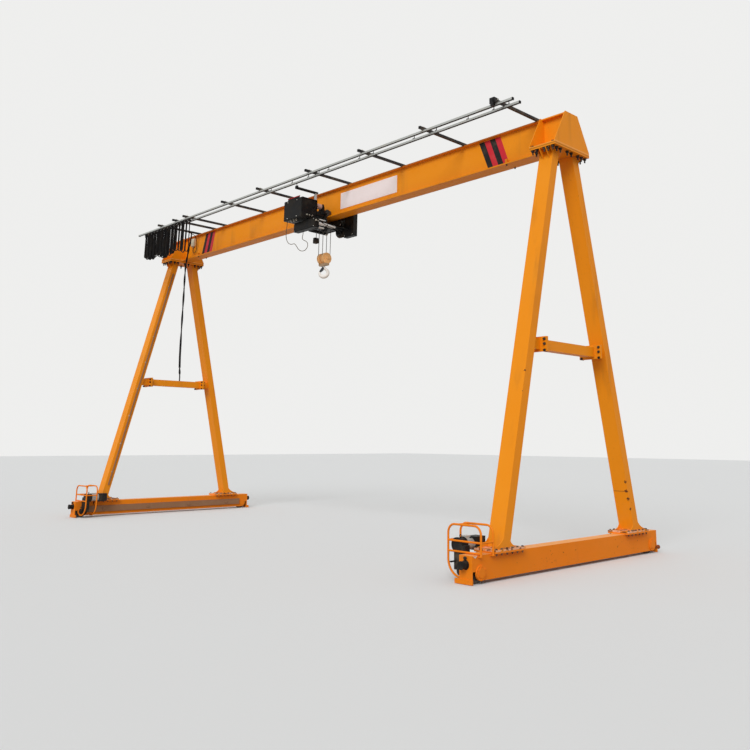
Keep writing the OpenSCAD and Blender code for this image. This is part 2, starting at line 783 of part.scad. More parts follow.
module control_box() {
    x = [box_left, box_left + control_l];
    back = -control_y + control_w;
    color(black) at_girder() {
        difference() {
            electric_box(x, control_w, control_low, control_h, 0);
            for (e = [x[0] - 1, x[1] - 11])
                block([e, e + 12], [-control_y + 8, back - 8], [control_low + 12, control_low + control_h - 12]);
        }
        for (e = [x[0] + 170, x[1] - 70])
            block([e, e + bracket], [back, -cheek_out - seat], [roller_up - 50 - bracket, roller_up - 50]);
        for (k = [1:4]) rod_z(16, x[0] + 20 + k * 80, -control_y + 50, [control_low - 30, control_low]);
    }
}

module lower_box() {
    x = [box_left + 125, box_left + 125 + lower_l];
    low = control_low - 30 - seat - lower_h;
    color(black) at_girder() {
        electric_box(x, lower_w, low, lower_h, 150);
        for (e = [x[0] + 90, x[0] + 300])
            block([e, e + bracket], [lower_back, -cheek_out - seat], [low + lower_h - bracket, low + lower_h]);
    }
}

// Rope drum with turned grooves, its end frame, gear housing and guard bars
module drum_unit() {
    groove = 18;
    grooves = floor((housing_x - 30) / groove);
    end_t = 16;
    frame_x = -50;
    guard_y = drum_y + drum_r - 10;
    color(steel) at_girder() difference() {
        rod_x(drum_r, [0, housing_x], drum_y, drum_up);
        translate([0, drum_y, drum_up]) rotate([0, 90, 0]) for (k = [1:grooves])
            translate([0, 0, 8 + k * groove]) rotate_extrude() translate([drum_r + 2, 0]) circle(8);
    }
    color(black) at_girder() {
        rod_x(drum_r + 25, [-end_t, 0], drum_y, drum_up);
        rod_x(42, [frame_x - 6, 0], drum_y, drum_up);
        block([frame_x, frame_x + end_t], [cheek_out + seat, drum_y + 60], [drum_up - 70, drum_up + 70]);
        block([frame_x, frame_x + end_t], [drum_y, guard_y + 15], [drum_up - 115, drum_up + 115]);
        for (z = [-100, 100]) rod_x(10, [frame_x, housing_x], guard_y, drum_up + z);
        translate([housing_x, housing_y, housing_up]) {
            cube([housing_l, housing_w, housing_h]);
            translate([18, -lid_t, 18]) cube([housing_l - 36, lid_t, housing_h - 36]);
        }
        block([housing_x - 80, housing_x + bracket], [cheek_out + seat, housing_y + 5], [-20, 50]);
        rod_x(drum_r + 8, [housing_x, housing_x + 55], drum_y, drum_up);
        rod_x(54, [housing_x + 55, housing_x + 75], drum_y, drum_up);
    }
}

module hoist_motor() {
    back = housing_x - seat;
    color(black) at_girder() {
        rod_x(motor_r - 8, [back - motor_l, back], motor_y, motor_up);
        for (k = [0:6]) rod_x(motor_r, [back - 175 + k * 24, back - 167 + k * 24], motor_y, motor_up);
        rod_x(motor_r + 2, [back - motor_l, back - 190], motor_y, motor_up);
        block([back - 160, back - 60], [motor_y + 60, motor_y + 140], [motor_up - 60, motor_up + 20]);
    }
}

module tow_arm() {
    x = 235;
    arm_r = 26;
    z = girder_h - 120;
    low = control_low + control_h + seat;
    color(steel) at_girder() {
        block([x - 28, x + 8], [-control_y + 300, -control_y + 336], [low, z - 12]);
        rod_z(5, x, -rail_inner, [z, girder_h - rail_h + 12]);
        block([x - 30, x + 30], [-rail_inner - 14, 14 - rail_inner], [z + 12, z + 40]);
    }
    color(black) at_girder() rod_y(arm_r, x, [-rail_inner - 20, -control_y + 355], z);
}

// Sheaves, hook and ropes hang on the girder's centre plane

hook_x = 0;
fall_y = sheave_d / 2 - 14 + rope_d / 2 + seat;
fall_top = girder_z - yoke_drop - seat;
block_z = girder_z - block_drop;

module ropes() {
    color(steel) for (s = [-1, 1]) for (e = [-1, 1])
        rod_z(rope_d / 2, hook_x + s * sheave_pitch / 2, e * fall_y, [block_z, fall_top]);
}

module sheave() {
    r = sheave_d / 2;
    rotate([0, 90, 0]) rotate_extrude() polygon([[0, -20], [r, -20], [r, -14], [r - 14, -4], [r - 14, 4],
        [r, 14], [r, 20], [0, 20]]);
}

module hook_block() {
    color(paint) for (s = [-1, 1]) translate([hook_x + s * sheave_pitch / 2, 0, block_z]) difference() {
        rotate([0, 90, 0]) cylinder(r = sheave_d / 2 + 8, h = 60, center = true);
        rotate([0, 90, 0]) cylinder(r = sheave_d / 2 + 2, h = 44, center = true);
        for (e = [-1, 1]) translate([0, e * fall_y, 60]) cube([rope_d + 8, rope_d + 24, 200], center = true);
    }
    color(steel) {
        for (s = [-1, 1]) translate([hook_x + s * sheave_pitch / 2, 0, block_z]) sheave();
        for (s = [-1, 1]) yz_plate(hook_x + s * (sheave_pitch / 2 + 36), 12) translate([0, block_z]) {
            circle(60);
            translate([-50, -130]) square([100, 130]);
        }
        rod_x(22, [hook_x - sheave_pitch / 2 - 60, hook_x + sheave_pitch / 2 + 60], 0, block_z);
        difference() {
            block([hook_x - sheave_pitch / 2 - 42, hook_x + sheave_pitch / 2 + 42], [-40, 40],
                [block_z + cross_z, block_z + cross_z + 42]);
            rod_z(20 + fit, hook_x, 0, [block_z + cross_z - 10, block_z + cross_z + 60]);
        }
    }
}

// Forged hook: round shank, bowl that thins to its point, turned to face the near side
cross_z = -142;
neck_z = cross_z - 2;
bowl_z = -275;
latch_t = 26;
hook_turns = [30:-15:-205];
function hook_path() = concat([[0, 0, neck_z], [0, 0, neck_z - 14], [5, 0, neck_z - 30], [20, 0, neck_z - 48],
    [40, 0, neck_z - 65], [57, 0, neck_z - 79]],
    [for (a = hook_turns) [hook_r * cos(a), 0, bowl_z + hook_r * sin(a)]]);
function bowl_size(a) = a > -90 ? 29 + 8 * sin(30 - a) : 37 - 24 * pow((-90 - a) / 115, 1.4);
function hook_size() = concat([19, 19, 21, 23, 25, 27], [for (a = hook_turns) bowl_size(a)]);

module hook() {
    color("#d8d4ca") translate([hook_x, 0, block_z]) rotate([0, 0, 45]) {
        rod_z(20, 0, 0, [neck_z - 12, cross_z + 60]);
        rod_z(27, 0, 0, [cross_z + 42 + seat, cross_z + 60]);
        tube(hook_path(), hook_size(), 16);
    }
    color(black) translate([hook_x, 0, block_z]) rotate([0, 0, 45]) {
        xz_plate(-latch_t / 2, latch_t) polygon([[-10, neck_z - 36], [8, neck_z - 54], [-62, bowl_z + 20],
            [-74, bowl_z + 30]]);
    }
}

module limit_weight() {
    x = hook_x - sheave_pitch / 2 - 50;
    y = -fall_y - 38;
    low = fall_top - 270;
    color(steel) {
        block([x - 40, x + 40], [y - 40, y + 40], [low, low + 70]);
        block([x - 30, x + 30], [y - 44, y + 44], [low + 70, low + 106]);
    }
    color(black) for (d = [-1, 1]) rod_z(3, x + 10, y + d * 6, [low + 106, fall_top]);
}

main_girder();
on_side(-1) saddle();  // saddle_left
on_side(1) saddle();  // saddle_right
head_plates();
on_side(-1) at_end(-1) leg();  // leg_left_near
on_side(-1) leg();  // leg_left_far
on_side(1) at_end(-1) leg();  // leg_right_near
on_side(1) leg();  // leg_right_far
on_side(-1) tie();  // tie_left
on_side(1) tie();  // tie_right
on_side(-1) carriage();  // carriage_left
on_side(1) carriage();  // carriage_right
wheel_at(-1, -1);  // wheel_left_near
wheel_at(-1, 1);  // wheel_left_far
wheel_at(1, -1);  // wheel_right_near
wheel_at(1, 1);  // wheel_right_far
bearing_covers();
sweeper_plates();
buffers();
drive_guards();
drive_left();
drive_right();
festoon_arms();
festoon_rails();
cable_trolleys();
festoon_cable();
end_clamp();
supply_cable();
conduits();
sign_plate();
end_stops();
junction_box();
trolley_frame();
trolley_wheels();
travel_motor();
control_box();
lower_box();
drum_unit();
hoist_motor();
tow_arm();
limit_weight();
ropes();
hook_block();
hook();
hoist_cable();
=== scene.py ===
# %% [markdown]
# A rail-mounted gantry crane with a rope hoist
#
# The steelwork comes in as a finished frame, in metres, with X along the girder, Y along the two
# carriages and Z up. This script gives it a camera, light, paint, bolts, ropes and cables, so that it
# looks like a crane that has stood in a yard for some years.

import math
import random

import bmesh
import bpy
from mathutils import Matrix, Vector


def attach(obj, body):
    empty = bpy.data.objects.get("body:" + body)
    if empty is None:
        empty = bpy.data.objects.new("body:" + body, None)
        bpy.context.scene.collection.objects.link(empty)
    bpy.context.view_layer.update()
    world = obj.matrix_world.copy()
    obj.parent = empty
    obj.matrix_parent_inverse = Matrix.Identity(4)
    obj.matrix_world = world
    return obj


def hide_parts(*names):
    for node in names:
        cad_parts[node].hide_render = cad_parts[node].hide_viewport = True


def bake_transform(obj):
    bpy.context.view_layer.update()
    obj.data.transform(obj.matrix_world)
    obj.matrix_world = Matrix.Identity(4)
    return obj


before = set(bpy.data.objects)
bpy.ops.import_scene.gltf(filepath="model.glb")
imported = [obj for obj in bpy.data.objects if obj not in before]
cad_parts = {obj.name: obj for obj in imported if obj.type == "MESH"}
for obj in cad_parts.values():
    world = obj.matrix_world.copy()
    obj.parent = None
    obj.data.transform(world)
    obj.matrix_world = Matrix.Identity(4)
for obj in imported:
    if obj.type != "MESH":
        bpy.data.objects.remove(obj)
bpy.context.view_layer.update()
scene = bpy.context.scene

# %% [markdown]
# The camera stands at a person's eye height, outside the near right corner of the crane, and looks up
# along the girder. A camera can be aimed by a target, but this one was worked out from the crane's
# straight edges, so its axes are set from its yaw, pitch and roll. The picture's centre is off the
# lens axis, which a lens shift gives without tilting the verticals.

# %% Camera
EYE = Vector((11.967, -9.313, 1.596))
YAW, PITCH, ROLL = (math.radians(a) for a in (44.633, 12.119, 0.388))
FOCAL_PX = 800.17
AXIS_PX = Vector((426.43, 269.87))
FRAME_PX = 750

ahead = Vector((-math.sin(YAW) * math.cos(PITCH), math.cos(YAW) * math.cos(PITCH), math.sin(PITCH)))
level = Vector((math.cos(YAW), math.sin(YAW), 0))
upward = level.cross(ahead)
right = math.cos(ROLL) * level + math.sin(ROLL) * upward
top = math.cos(ROLL) * upward - math.sin(ROLL) * level

lens = bpy.data.cameras.new("camera")
lens.sensor_width = 36
lens.lens = lens.sensor_width * FOCAL_PX / FRAME_PX
lens.shift_x = (FRAME_PX / 2 - AXIS_PX.x) / FRAME_PX
lens.shift_y = (AXIS_PX.y - FRAME_PX / 2) / FRAME_PX
lens.clip_end = 200
camera = bpy.data.objects.new("camera", lens)
scene.collection.objects.link(camera)
camera.matrix_world = Matrix.Translation(EYE) @ Matrix((right, top, -ahead)).transposed().to_4x4()
scene.camera = camera
print("camera lens", round(lens.lens, 2), "mm, shift", round(lens.shift_x, 3), round(lens.shift_y, 3))

# %% [markdown]
# A thin control cable hangs between the two electric boxes of the hoist. It leaves the upper box by a
# gland, sags into two loose loops and goes back up into the lower box.

# %% Control cable
def smooth(points, per=4):
    """More points on the smooth curve through a few."""
    path = [Vector(p) for p in points]
    path = [path[0] * 2 - path[1]] + path + [path[-1] * 2 - path[-2]]
    found = []
    for a, b, c, d in zip(path, path[1:], path[2:], path[3:]):
        for t in (k / per for k in range(per)):
            found.append(0.5 * (2 * b + (c - a) * t + (2 * a - 5 * b + 4 * c - d) * t ** 2
                                + (3 * b - a - 3 * c + d) * t ** 3))
    return found + [path[-2]]


UNDERSIDE = 5.79  # the girder's lower face, from which the route is measured down
CONTROL_ROUTE = [
    (-0.3, -0.68, 0.1103), (-0.3, -0.68, 0.15), (-0.306, -0.679, 0.2), (-0.318, -0.678, 0.27),
    (-0.325, -0.675, 0.39), (-0.29, -0.668, 0.49), (-0.23, -0.662, 0.545), (-0.16, -0.655, 0.565),
    (-0.093, -0.645, 0.565), (-0.045, -0.635, 0.61), (0.01, -0.625, 0.68), (0.07, -0.618, 0.72),
    (0.14, -0.608, 0.735), (0.21, -0.598, 0.715), (0.245, -0.588, 0.66), (0.225, -0.576, 0.595),
    (0.16, -0.565, 0.545), (0.08, -0.555, 0.51), (0.02, -0.545, 0.47), (-0.005, -0.53, 0.42),
    (-0.01, -0.515, 0.37), (-0.01, -0.515, 0.3206),
]
CONTROL_RADIUS = 0.006
KNOT_RADIUS = 0.01  # kept small, since the box round a curve counts it

control_path = smooth([(x, y, UNDERSIDE - drop) for x, y, drop in CONTROL_ROUTE], 5)
control_curve = bpy.data.curves.new("control_cable", "CURVE")
control_curve.dimensions = "3D"
control_curve.bevel_depth = CONTROL_RADIUS / KNOT_RADIUS
control_curve.bevel_resolution = 3
control_curve.use_fill_caps = True
line = control_curve.splines.new("POLY")
line.points.add(len(control_path) - 1)
for knot, place in zip(line.points, control_path):
    knot.co = (*place, 1)
    knot.radius = KNOT_RADIUS
control_cable = bpy.data.objects.new("control_cable", control_curve)
scene.collection.objects.link(control_cable)
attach(control_cable, "hoist")
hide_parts("hoist_cable")

# %% [markdown]
# Shader maths reads best as plain arithmetic. A Wire holds one socket of a tree that is being built,
# and its operators add the Math nodes. Every other node comes from one method, which takes the node's
# type, its settings and what goes into its sockets.

# %% Wires and trees
def math_node(operation, turned=False):
    """An operator that adds one Math node, with its two values turned round where asked."""
    def act(wire, other=0.0):
        values = (other, wire) if turned else (wire, other)
        return wire.maker.node("ShaderNodeMath", {"operation": operation}, dict(enumerate(values)))
    return act


class Wire:
    """A number or colour on its way through a tree."""

    def __init__(self, maker, socket):
        self.maker = maker
        self.socket = socket

    __add__, __radd__ = math_node("ADD"), math_node("ADD", True)
    __sub__, __rsub__ = math_node("SUBTRACT"), math_node("SUBTRACT", True)
    __mul__, __rmul__ = math_node("MULTIPLY"), math_node("MULTIPLY", True)
    __pow__, wave = math_node("POWER"), math_node("SINE")
    maximum, minimum = math_node("MAXIMUM"), math_node("MINIMUM")

    def between(self, low, high):
        """0 below low, 1 above high, and a smooth step from one to the other."""
        settings = {"interpolation_type": "SMOOTHSTEP"}
        sockets = {"Value": self, "From Min": low, "From Max": high}
        return self.maker.node("ShaderNodeMapRange", settings, sockets)


class Maker:
    """Builds one tree, node by node."""

    def __init__(self, tree):
        self.tree = tree

    def node(self, kind, settings=None, sockets=None, out=0):
        made = self.tree.nodes.new(kind)
        for name, value in (settings or {}).items():
            setattr(made, name, value)
        for name, value in (sockets or {}).items():
            if isinstance(value, Wire):
                self.tree.links.new(value.socket, made.inputs[name])
            else:
                made.inputs[name].default_value = value
        return Wire(self, made.outputs[out]) if made.outputs else None

    def seen(self):
        """1 for rays from the camera, off gloss or through glass, and 0 for those that carry light."""
        looks = [self.node("ShaderNodeLightPath", out=f"Is {kind} Ray")
                 for kind in ("Camera", "Glossy", "Transmission")]
        return looks[0].maximum(looks[1]).maximum(looks[2])


print("trees can be built")

# %% [markdown]
# A Finish is a material made this way. Its patches, spots and edges come from the piece's own
# coordinates, so no picture has to be wrapped round the piece.

# %% Finishes
class Finish(Maker):
    """One material: a paint, metal or rubber, worn as on this crane."""

    def __init__(self, name):
        self.material = bpy.data.materials.new(name)
        self.material.use_nodes = True
        super().__init__(self.material.node_tree)
        self.tree.nodes.clear()
        self.place = self.node("ShaderNodeTexCoord", out="Object")

    def noise(self, scale, detail=3.0, stretch=(1, 1, 1), shift=0.0):
        """Soft random patches, scale of them in a metre, drawn out along an axis by a small stretch."""
        moved = self.node("ShaderNodeMapping", None, {"Vector": self.place, "Scale": stretch,
                                                      "Location": (shift, shift * 0.7, shift * 1.3)})
        return self.node("ShaderNodeTexNoise", {"noise_dimensions": "3D"},
                         {"Vector": moved, "Scale": scale, "Detail": detail, "Roughness": 0.55})

    def axis(self, name):
        """One of the object's own coordinates, in metres."""
        return self.node("ShaderNodeSeparateXYZ", None, {0: self.place}, out=name)

    def span(self, name, low, high):
        """1 where a coordinate lies between two values, and 0 elsewhere."""
        reach = {0: self.axis(name), 1: (low + high) / 2, 2: (high - low) / 2}
        return self.node("ShaderNodeMath", {"operation": "COMPARE"}, reach)

    def spot(self, at, radius):
        """1 inside a small ragged spot, and 0 outside it."""
        ends = {0: self.place, 1: at}
        away = self.node("ShaderNodeVectorMath", {"operation": "DISTANCE"}, ends, out="Value")
        ragged = away + (self.noise(55, 4, shift=1.9) - 0.5) * (radius * 2.2)
        return 1 - ragged.between(radius * 0.65, radius * 0.8)

    def rod(self, first, one, second, two, radius, soft=0.001):
        """1 inside a round bar along the third axis, and 0 outside it."""
        away = ((self.axis(first) - one) ** 2 + (self.axis(second) - two) ** 2) ** 0.5
        return 1 - away.between(radius, radius + soft)

    def mix(self, amount, first, second):
        """One colour laid over another."""
        blend = {"data_type": "RGBA", "blend_type": "MIX"}
        return self.node("ShaderNodeMix", blend, {0: amount, 6: first, 7: second}, out=2)

    def surface(self, colour, rough, metal=0.0, shine=0.5, bump=None):
        """Ends the tree. bump gives a height, its strength and its depth in metres."""
        sockets = {"Base Color": colour, "Roughness": rough, "Metallic": metal, "Specular IOR Level": shine}
        if bump:
            raised = dict(zip(("Height", "Strength", "Distance"), bump))
            sockets["Normal"] = self.node("ShaderNodeBump", None, raised)
        shader = self.node("ShaderNodeBsdfPrincipled", None, sockets)
        self.node("ShaderNodeOutputMaterial", None, {"Surface": shader})
        return self.material


def rgb(red, green, blue):
    """A colour from screen values of 0 to 255 to the linear ones that a shader takes."""
    linear = [((c / 255 + 0.055) / 1.055) ** 2.4 if c > 10 else c / 255 / 12.92 for c in (red, green, blue)]
    return (*linear, 1.0)


RUST = rgb(96, 48, 24)
DUST = rgb(176, 158, 132)
GRIME = rgb(84, 62, 42)
PRIMER = rgb(232, 186, 160)
PAINTED_EDGE_LIGHT = rgb(250, 190, 120)
DARK_EDGE = rgb(150, 80, 34)
print("finishes can be mixed")

# %% [markdown]
# The steelwork is sprayed orange-yellow over primer. Years in a dusty yard leave pale patches where
# the sun has bleached it, grey streaks where rain ran down, dust and splashed dirt near the ground,
# and chips that have gone to rust. The portal has marks of its own: bare primer round the bolts of the
# feet, a dark line at the joint under each saddle, a dark edge along the flange, and a few knocks on the
# legs. A pale painted highlight runs along the lower edge of each saddle and along the top edge of each
# carriage, where light catches them.

# %% Painted steel
KNOCKS = [((5.602, 1.269, 1.043), 0.026), ((5.593, 1.299, 0.915), 0.03), ((5.605, 1.326, 0.802), 0.03),
          ((5.618, 1.356, 0.662), 0.026), ((5.62, 0.283, 5.147), 0.024), ((5.62, -1.067, 2.505), 0.024),
          ((5.62, -1.13, 2.24), 0.014), ((-5.4, -0.52, 4.53), 0.018)]


def portal_marks_and_highlight(f, coat):
    """Primer and rust at the feet, a dark joint line and a painted highlight at each saddle, dark flange
    edges, and knocks.
    """
    z = f.axis("Z")
    feet = z.between(0.312, 0.322) * (1 - z.between(0.366, 0.374))
    coat = f.mix(feet * f.noise(11, 5, shift=6.6).between(0.4, 0.54) * 0.8, coat, PRIMER)
    coat = f.mix(feet * f.noise(15, 5, shift=3.3).between(0.5, 0.6) * 0.85, coat, RUST)
    inner = f.span("X", -5.25, 5.25)
    # A dark line at the joint under each saddle, and above it a pale painted highlight along the saddle's
    # lower edge
    coat = f.mix(f.span("Z", 5.757, 5.772) * (1 - inner) * 0.5, coat, GRIME)
    coat = f.mix(f.span("Z", 5.785, 5.797) * (1 - inner) * 0.6, coat, PAINTED_EDGE_LIGHT)
    flange = inner * f.span("Z", 6.29, 6.33) * (1 - f.span("Y", -0.1243, 0.1243))
    coat = f.mix(flange * 0.8, coat, DARK_EDGE)
    for at, radius in KNOCKS:
        coat = f.mix(f.spot(at, radius), coat, RUST)
    scratch = f.span("Z", 0.905, 0.913) * f.span("X", 5.39, 5.6) * f.span("Y", 1.2, 1.4)
    return f.mix(scratch * 0.8, coat, RUST)


def carriage_top_highlight(f, coat):
    """A painted highlight: a pale line where the light catches the top edge of a carriage."""
    return f.mix(f.span("Z", 0.3194, 0.3212) * 0.55, coat, PAINTED_EDGE_LIGHT)


def painted_steel(name, colour, faded, splash, chips, streaks, marks_and_highlight):
    f = Finish(name)
    z = f.axis("Z")
    bleach = f.noise(0.9, 4).between(0.35, 0.72)
    coat = f.mix(bleach * 0.45, colour, faded)
    runs = f.noise(5, 4, (1, 1, 0.06), 3.1).between(0.52, 0.74)
    coat = f.mix(runs * f.noise(1.3, 2, shift=7).between(0.35, 0.65) * streaks, coat, GRIME)
    low = (1 - z.between(0.02, 1.1)) * f.noise(7, 5, shift=1.7).between(0.34, 0.7)
    coat = f.mix(low * splash * 0.55, coat, DUST)
    worn = f.noise(1.1, 2, shift=9).between(0.45, 0.6)
    spots = f.noise(26, 4, shift=5.3).between(0.7, 0.73) * worn
    low_spots = f.noise(19, 4, shift=2.2).between(0.69, 0.72) * (1 - z.between(0.05, 0.7))
    rust = (spots + low_spots).minimum(1.0) * chips
    halo = f.noise(24, 4, shift=5.3).between(0.6, 0.72) * worn * 0.25
    coat = f.mix(halo * chips, coat, GRIME)
    # Each piece's own marks go on last; on the portal and the carriages these include painted highlights
    # along lit edges
    coat = marks_and_highlight(f, f.mix(rust, coat, RUST))
    grain = f.noise(60, 3, shift=4) * 0.25 + rust * -0.8
    rough = 0.42 + f.noise(3, 3, shift=8) * 0.2 + rust * 0.4 + low * 0.2
    return f.surface(coat, rough, 0.0, 0.22, (grain, 0.18, 0.004))


crane_paint = painted_steel("crane_paint", rgb(240, 146, 12), rgb(242, 154, 28), 0.15, 0.5, 0.22,
                            portal_marks_and_highlight)
carriage_paint = painted_steel("carriage_paint", rgb(238, 130, 4), rgb(240, 138, 14), 0.09, 0.8, 0.25,
                               carriage_top_highlight)
print("paints made:", crane_paint.name, carriage_paint.name)

# %% [markdown]
# The rest is a handful of finishes: black powder coat on the hoist and festoon arms, zinc on bolts and
# ropes, cast iron on motors, black rubber on buffers and cables, grey plastic conduit, a white sheet
# for the bare sign, and off-white paint on the hook. A coat is a plain colour with dust and scuffs on
# it, and zinc has its patchy spangle.

# %% Plain coats
def worn_coat(name, colour, dust=0.35, rough=0.42, metal=0.0, dusty=DUST, bump=0.15, bare=None, shine=0.15):
    """A coat with dust and scuffs. bare gives a second colour, its metal and where it shows."""
    f = Finish(name)
    patches = f.noise(6, 5, shift=2.4).between(0.42, 0.78)
    if bare:
        second, second_metal, where = bare
        there = where(f)
        colour = f.mix(there, colour, second)
        if second_metal != metal:
            metal = there * (second_metal - metal) + metal
    shade = f.mix(patches * dust, colour, dusty)
    scuffs = f.noise(38, 3, (1, 1, 0.3), 6.1).between(0.66, 0.7)
    shade = f.mix(scuffs * dust * 0.6, shade, dusty)
    return f.surface(shade, rough + patches * 0.25, metal, shine, (f.noise(90, 2), bump, 0.002))


def zinc(name, dark, light, rough):
    f = Finish(name)
    spangle = f.noise(14, 4, shift=1.1).between(0.3, 0.7)
    stain = f.noise(3.5, 5, (1, 1, 0.4), 4.4).between(0.58, 0.78)
    shade = f.mix(stain * 0.5, f.mix(spangle, dark, light), GRIME)
    return f.surface(shade, rough + spangle * 0.15, 0.75 - stain * 0.5, bump=(spangle, 0.1, 0.001))


black_coat = worn_coat("black_coat", rgb(10, 11, 13), 0.05)
black_arm = worn_coat("black_arm", rgb(38, 38, 40), 0.22)
cast_iron = worn_coat("cast_iron", rgb(34, 34, 35), 0.25, 0.6, bump=0.4)
motor_grey = worn_coat("motor_grey", rgb(128, 128, 124), 0.35, 0.5)
rubber = worn_coat("rubber", rgb(24, 24, 25), 0.2, 0.75)
cable_sheath = worn_coat("cable_sheath", rgb(15, 15, 17), 0.05, 0.62)
thin_cable = worn_coat("thin_cable", rgb(96, 84, 70), 0.3, 0.65)
conduit_grey = worn_coat("conduit_grey", rgb(150, 112, 84), 0.3, 0.6, dusty=rgb(170, 140, 112))
sign_white = worn_coat("sign_white", rgb(246, 236, 238), 0.06, 0.45)
box_cream = worn_coat("box_cream", rgb(205, 196, 172), 0.3, 0.5)
hook_white = worn_coat("hook_white", rgb(244, 242, 238), 0.14, 0.45, dusty=GRIME)
wheel_steel = zinc("wheel_steel", rgb(70, 64, 60), rgb(110, 102, 94), 0.5)
rope_steel = zinc("rope_steel", rgb(92, 90, 86), rgb(138, 134, 126), 0.5)
print("plain coats made")

# %% [markdown]
# Some pieces are one solid but two finishes, such as a silver motor between black housings. Painting
# each face by hand would also do, but a mask on the piece's coordinates says where the second finish
# starts, to the millimetre, and needs no new faces.

# %% Coats of two colours
HOIST_BLACK = rgb(18, 19, 21)


def tubes_of_trolley(f):
    """The cross tubes and rods of the trolley, as far as its far side plate."""
    outside = 1 - f.span("Y", -0.1905, -0.1745)
    long_tube = f.rod("X", 0.265, "Z", 5.612, 0.0325) * f.span("Y", -1, 0.02)
    rod = f.rod("X", 0.245, "Z", 5.697, 0.0125)
    low_rod = f.rod("X", 0.24, "Z", 5.545, 0.0185) * f.span("Y", -1, -0.2205)
    back_tube = f.rod("X", -0.255, "Z", 5.612, 0.0325) * (1 - f.span("Y", -0.174, 0.1905))
    return (long_tube + rod + low_rod + back_tube).minimum(1.0) * outside


def drum_shell(f):
    """The grooved barrel, between its two flanges."""
    return f.span("X", 0.001, 0.284) * f.rod("Y", 0.4, "Z", 5.805, 0.112, 0.002)


def travel_body(f):
    """The travel motor, nearer than its black gear housing."""
    return 1 - f.span("Y", -0.2485, 1.0)


def motor_body(f):
    """The ribbed motor and terminal box, between a drive's gear housing and its fan cowl."""
    return f.span("Y", -1.8465, -1.6975) * f.span("Z", 0.3, 0.4985)


def two_tone(name, colour, dust, rough, second, second_metal, where, **more):
    return worn_coat(name, colour, dust, rough, bare=(second, second_metal, where), **more)


black_hoist = two_tone("black_hoist", HOIST_BLACK, 0.06, 0.4, rgb(236, 240, 240), 0.0, tubes_of_trolley)
drum_coat = two_tone("drum_coat", HOIST_BLACK, 0.06, 0.4, rgb(120, 116, 108), 0.7, drum_shell)
travel_coat = two_tone("travel_coat", HOIST_BLACK, 0.06, 0.45, rgb(200, 170, 162), 0.0, travel_body)
drive_coat = two_tone("drive_coat", rgb(30, 30, 31), 0.2, 0.5, rgb(196, 200, 198), 0.3, motor_body, bump=0.25)
stop_coat = two_tone("stop_coat", rgb(34, 32, 30), 0.2, 0.5, rgb(226, 134, 26), 0.0,
                     lambda f: f.span("Z", 5.7905, 6.0), bump=0.2)
tow_coat = two_tone("tow_coat", rgb(22, 23, 25), 0.12, 0.45, rgb(196, 202, 204), 0.3,
                    lambda f: f.span("Y", -0.46, 0) * f.span("Z", 5.9, 6.186))
rail_coat = two_tone("rail_coat", rgb(186, 190, 188), 0.2, 0.45, rgb(44, 44, 46), 0.2,
                     lambda f: f.span("Z", 6.28, 6.2885), metal=0.5, bump=0.1)
block_coat = two_tone("block_coat", rgb(250, 196, 132), 0.2, 0.42, rgb(176, 150, 120), 0.2,
                      lambda f: f.span("Z", 4.8, 4.9305), dusty=GRIME, bump=0.2)
print("coats of two colours made")

# %% [markdown]
# Every piece of the frame takes one finish, and what isn't listed is crane paint. Sheet-steel and
# moulded boxes are never dead sharp, so theirs get small rounded edges, which catch the light.

# %% Paint the frame's pieces
FINISHES = {
    carriage_paint: ["carriage_left", "carriage_right", "bearing_covers", "sweeper_plates", "drive_guards"],
    black_arm: ["festoon_arms", "end_clamp", "cable_trolleys"],
    stop_coat: ["end_stops"],
    rail_coat: ["festoon_rails"],
    tow_coat: ["tow_arm"],
    cable_sheath: ["festoon_cable", "supply_cable"],
    conduit_grey: ["conduits"],
    sign_white: ["sign_plate"],
    box_cream: ["junction_box"],
    rubber: ["buffers"],
    wheel_steel: [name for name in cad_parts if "wheel" in name],
    cast_iron: ["hoist_motor", "limit_weight"],
    drive_coat: ["drive_left", "drive_right"],
    black_coat: ["control_box", "lower_box"],
    black_hoist: ["trolley_frame"],
    drum_coat: ["drum_unit"],
    travel_coat: ["travel_motor"],
    block_coat: ["hook_block"],
    rope_steel: ["ropes"],
    hook_white: ["hook"],
}
EDGES = {"control_box": 0.007, "lower_box": 0.006, "junction_box": 0.004}

finish_of = {name: finish for finish, names in FINISHES.items() for name in names}
for name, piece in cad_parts.items():
    piece.data.materials.clear()
    piece.data.materials.append(finish_of.get(name, crane_paint))
control_curve.materials.append(thin_cable)
for name, width in EDGES.items():
    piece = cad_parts[name]
    piece.modifiers.new("weld", "WELD").merge_threshold = 0.0001
    edges = piece.modifiers.new("edges", "BEVEL")
    edges.width, edges.segments = width, 2
    edges.limit_method, edges.angle_limit = "ANGLE", math.radians(40)
print("painted", len(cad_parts), "pieces")

# %% [markdown]
# Small parts are gathered in a Shape: turned ones from a profile, tubes and flat bands from a path,
# and boxes with rounded edges. Each becomes one mesh at the origin, with its place in its points.

# %% Shapes
BOTH = (1, -1)  # signs of the two mirrored sides
UP, DOWN, NEAR, FAR = (0, 0, 1), (0, 0, -1), (0, -1, 0), (0, 1, 0)
RIGHT, LEFT = (1, 0, 0), (-1, 0, 0)


def around(sides, count=None, start=0.0):
    """The cosine and sine of equal steps round a circle."""
    angles = [2 * math.pi * (k + start) / sides for k in range(count or sides)]
    return [(math.cos(a), math.sin(a)) for a in angles]


def headings(path):
    """The direction of travel at each point of a path."""
    return [(path[min(i + 1, len(path) - 1)] - path[max(i - 1, 0)]).normalized() for i in range(len(path))]


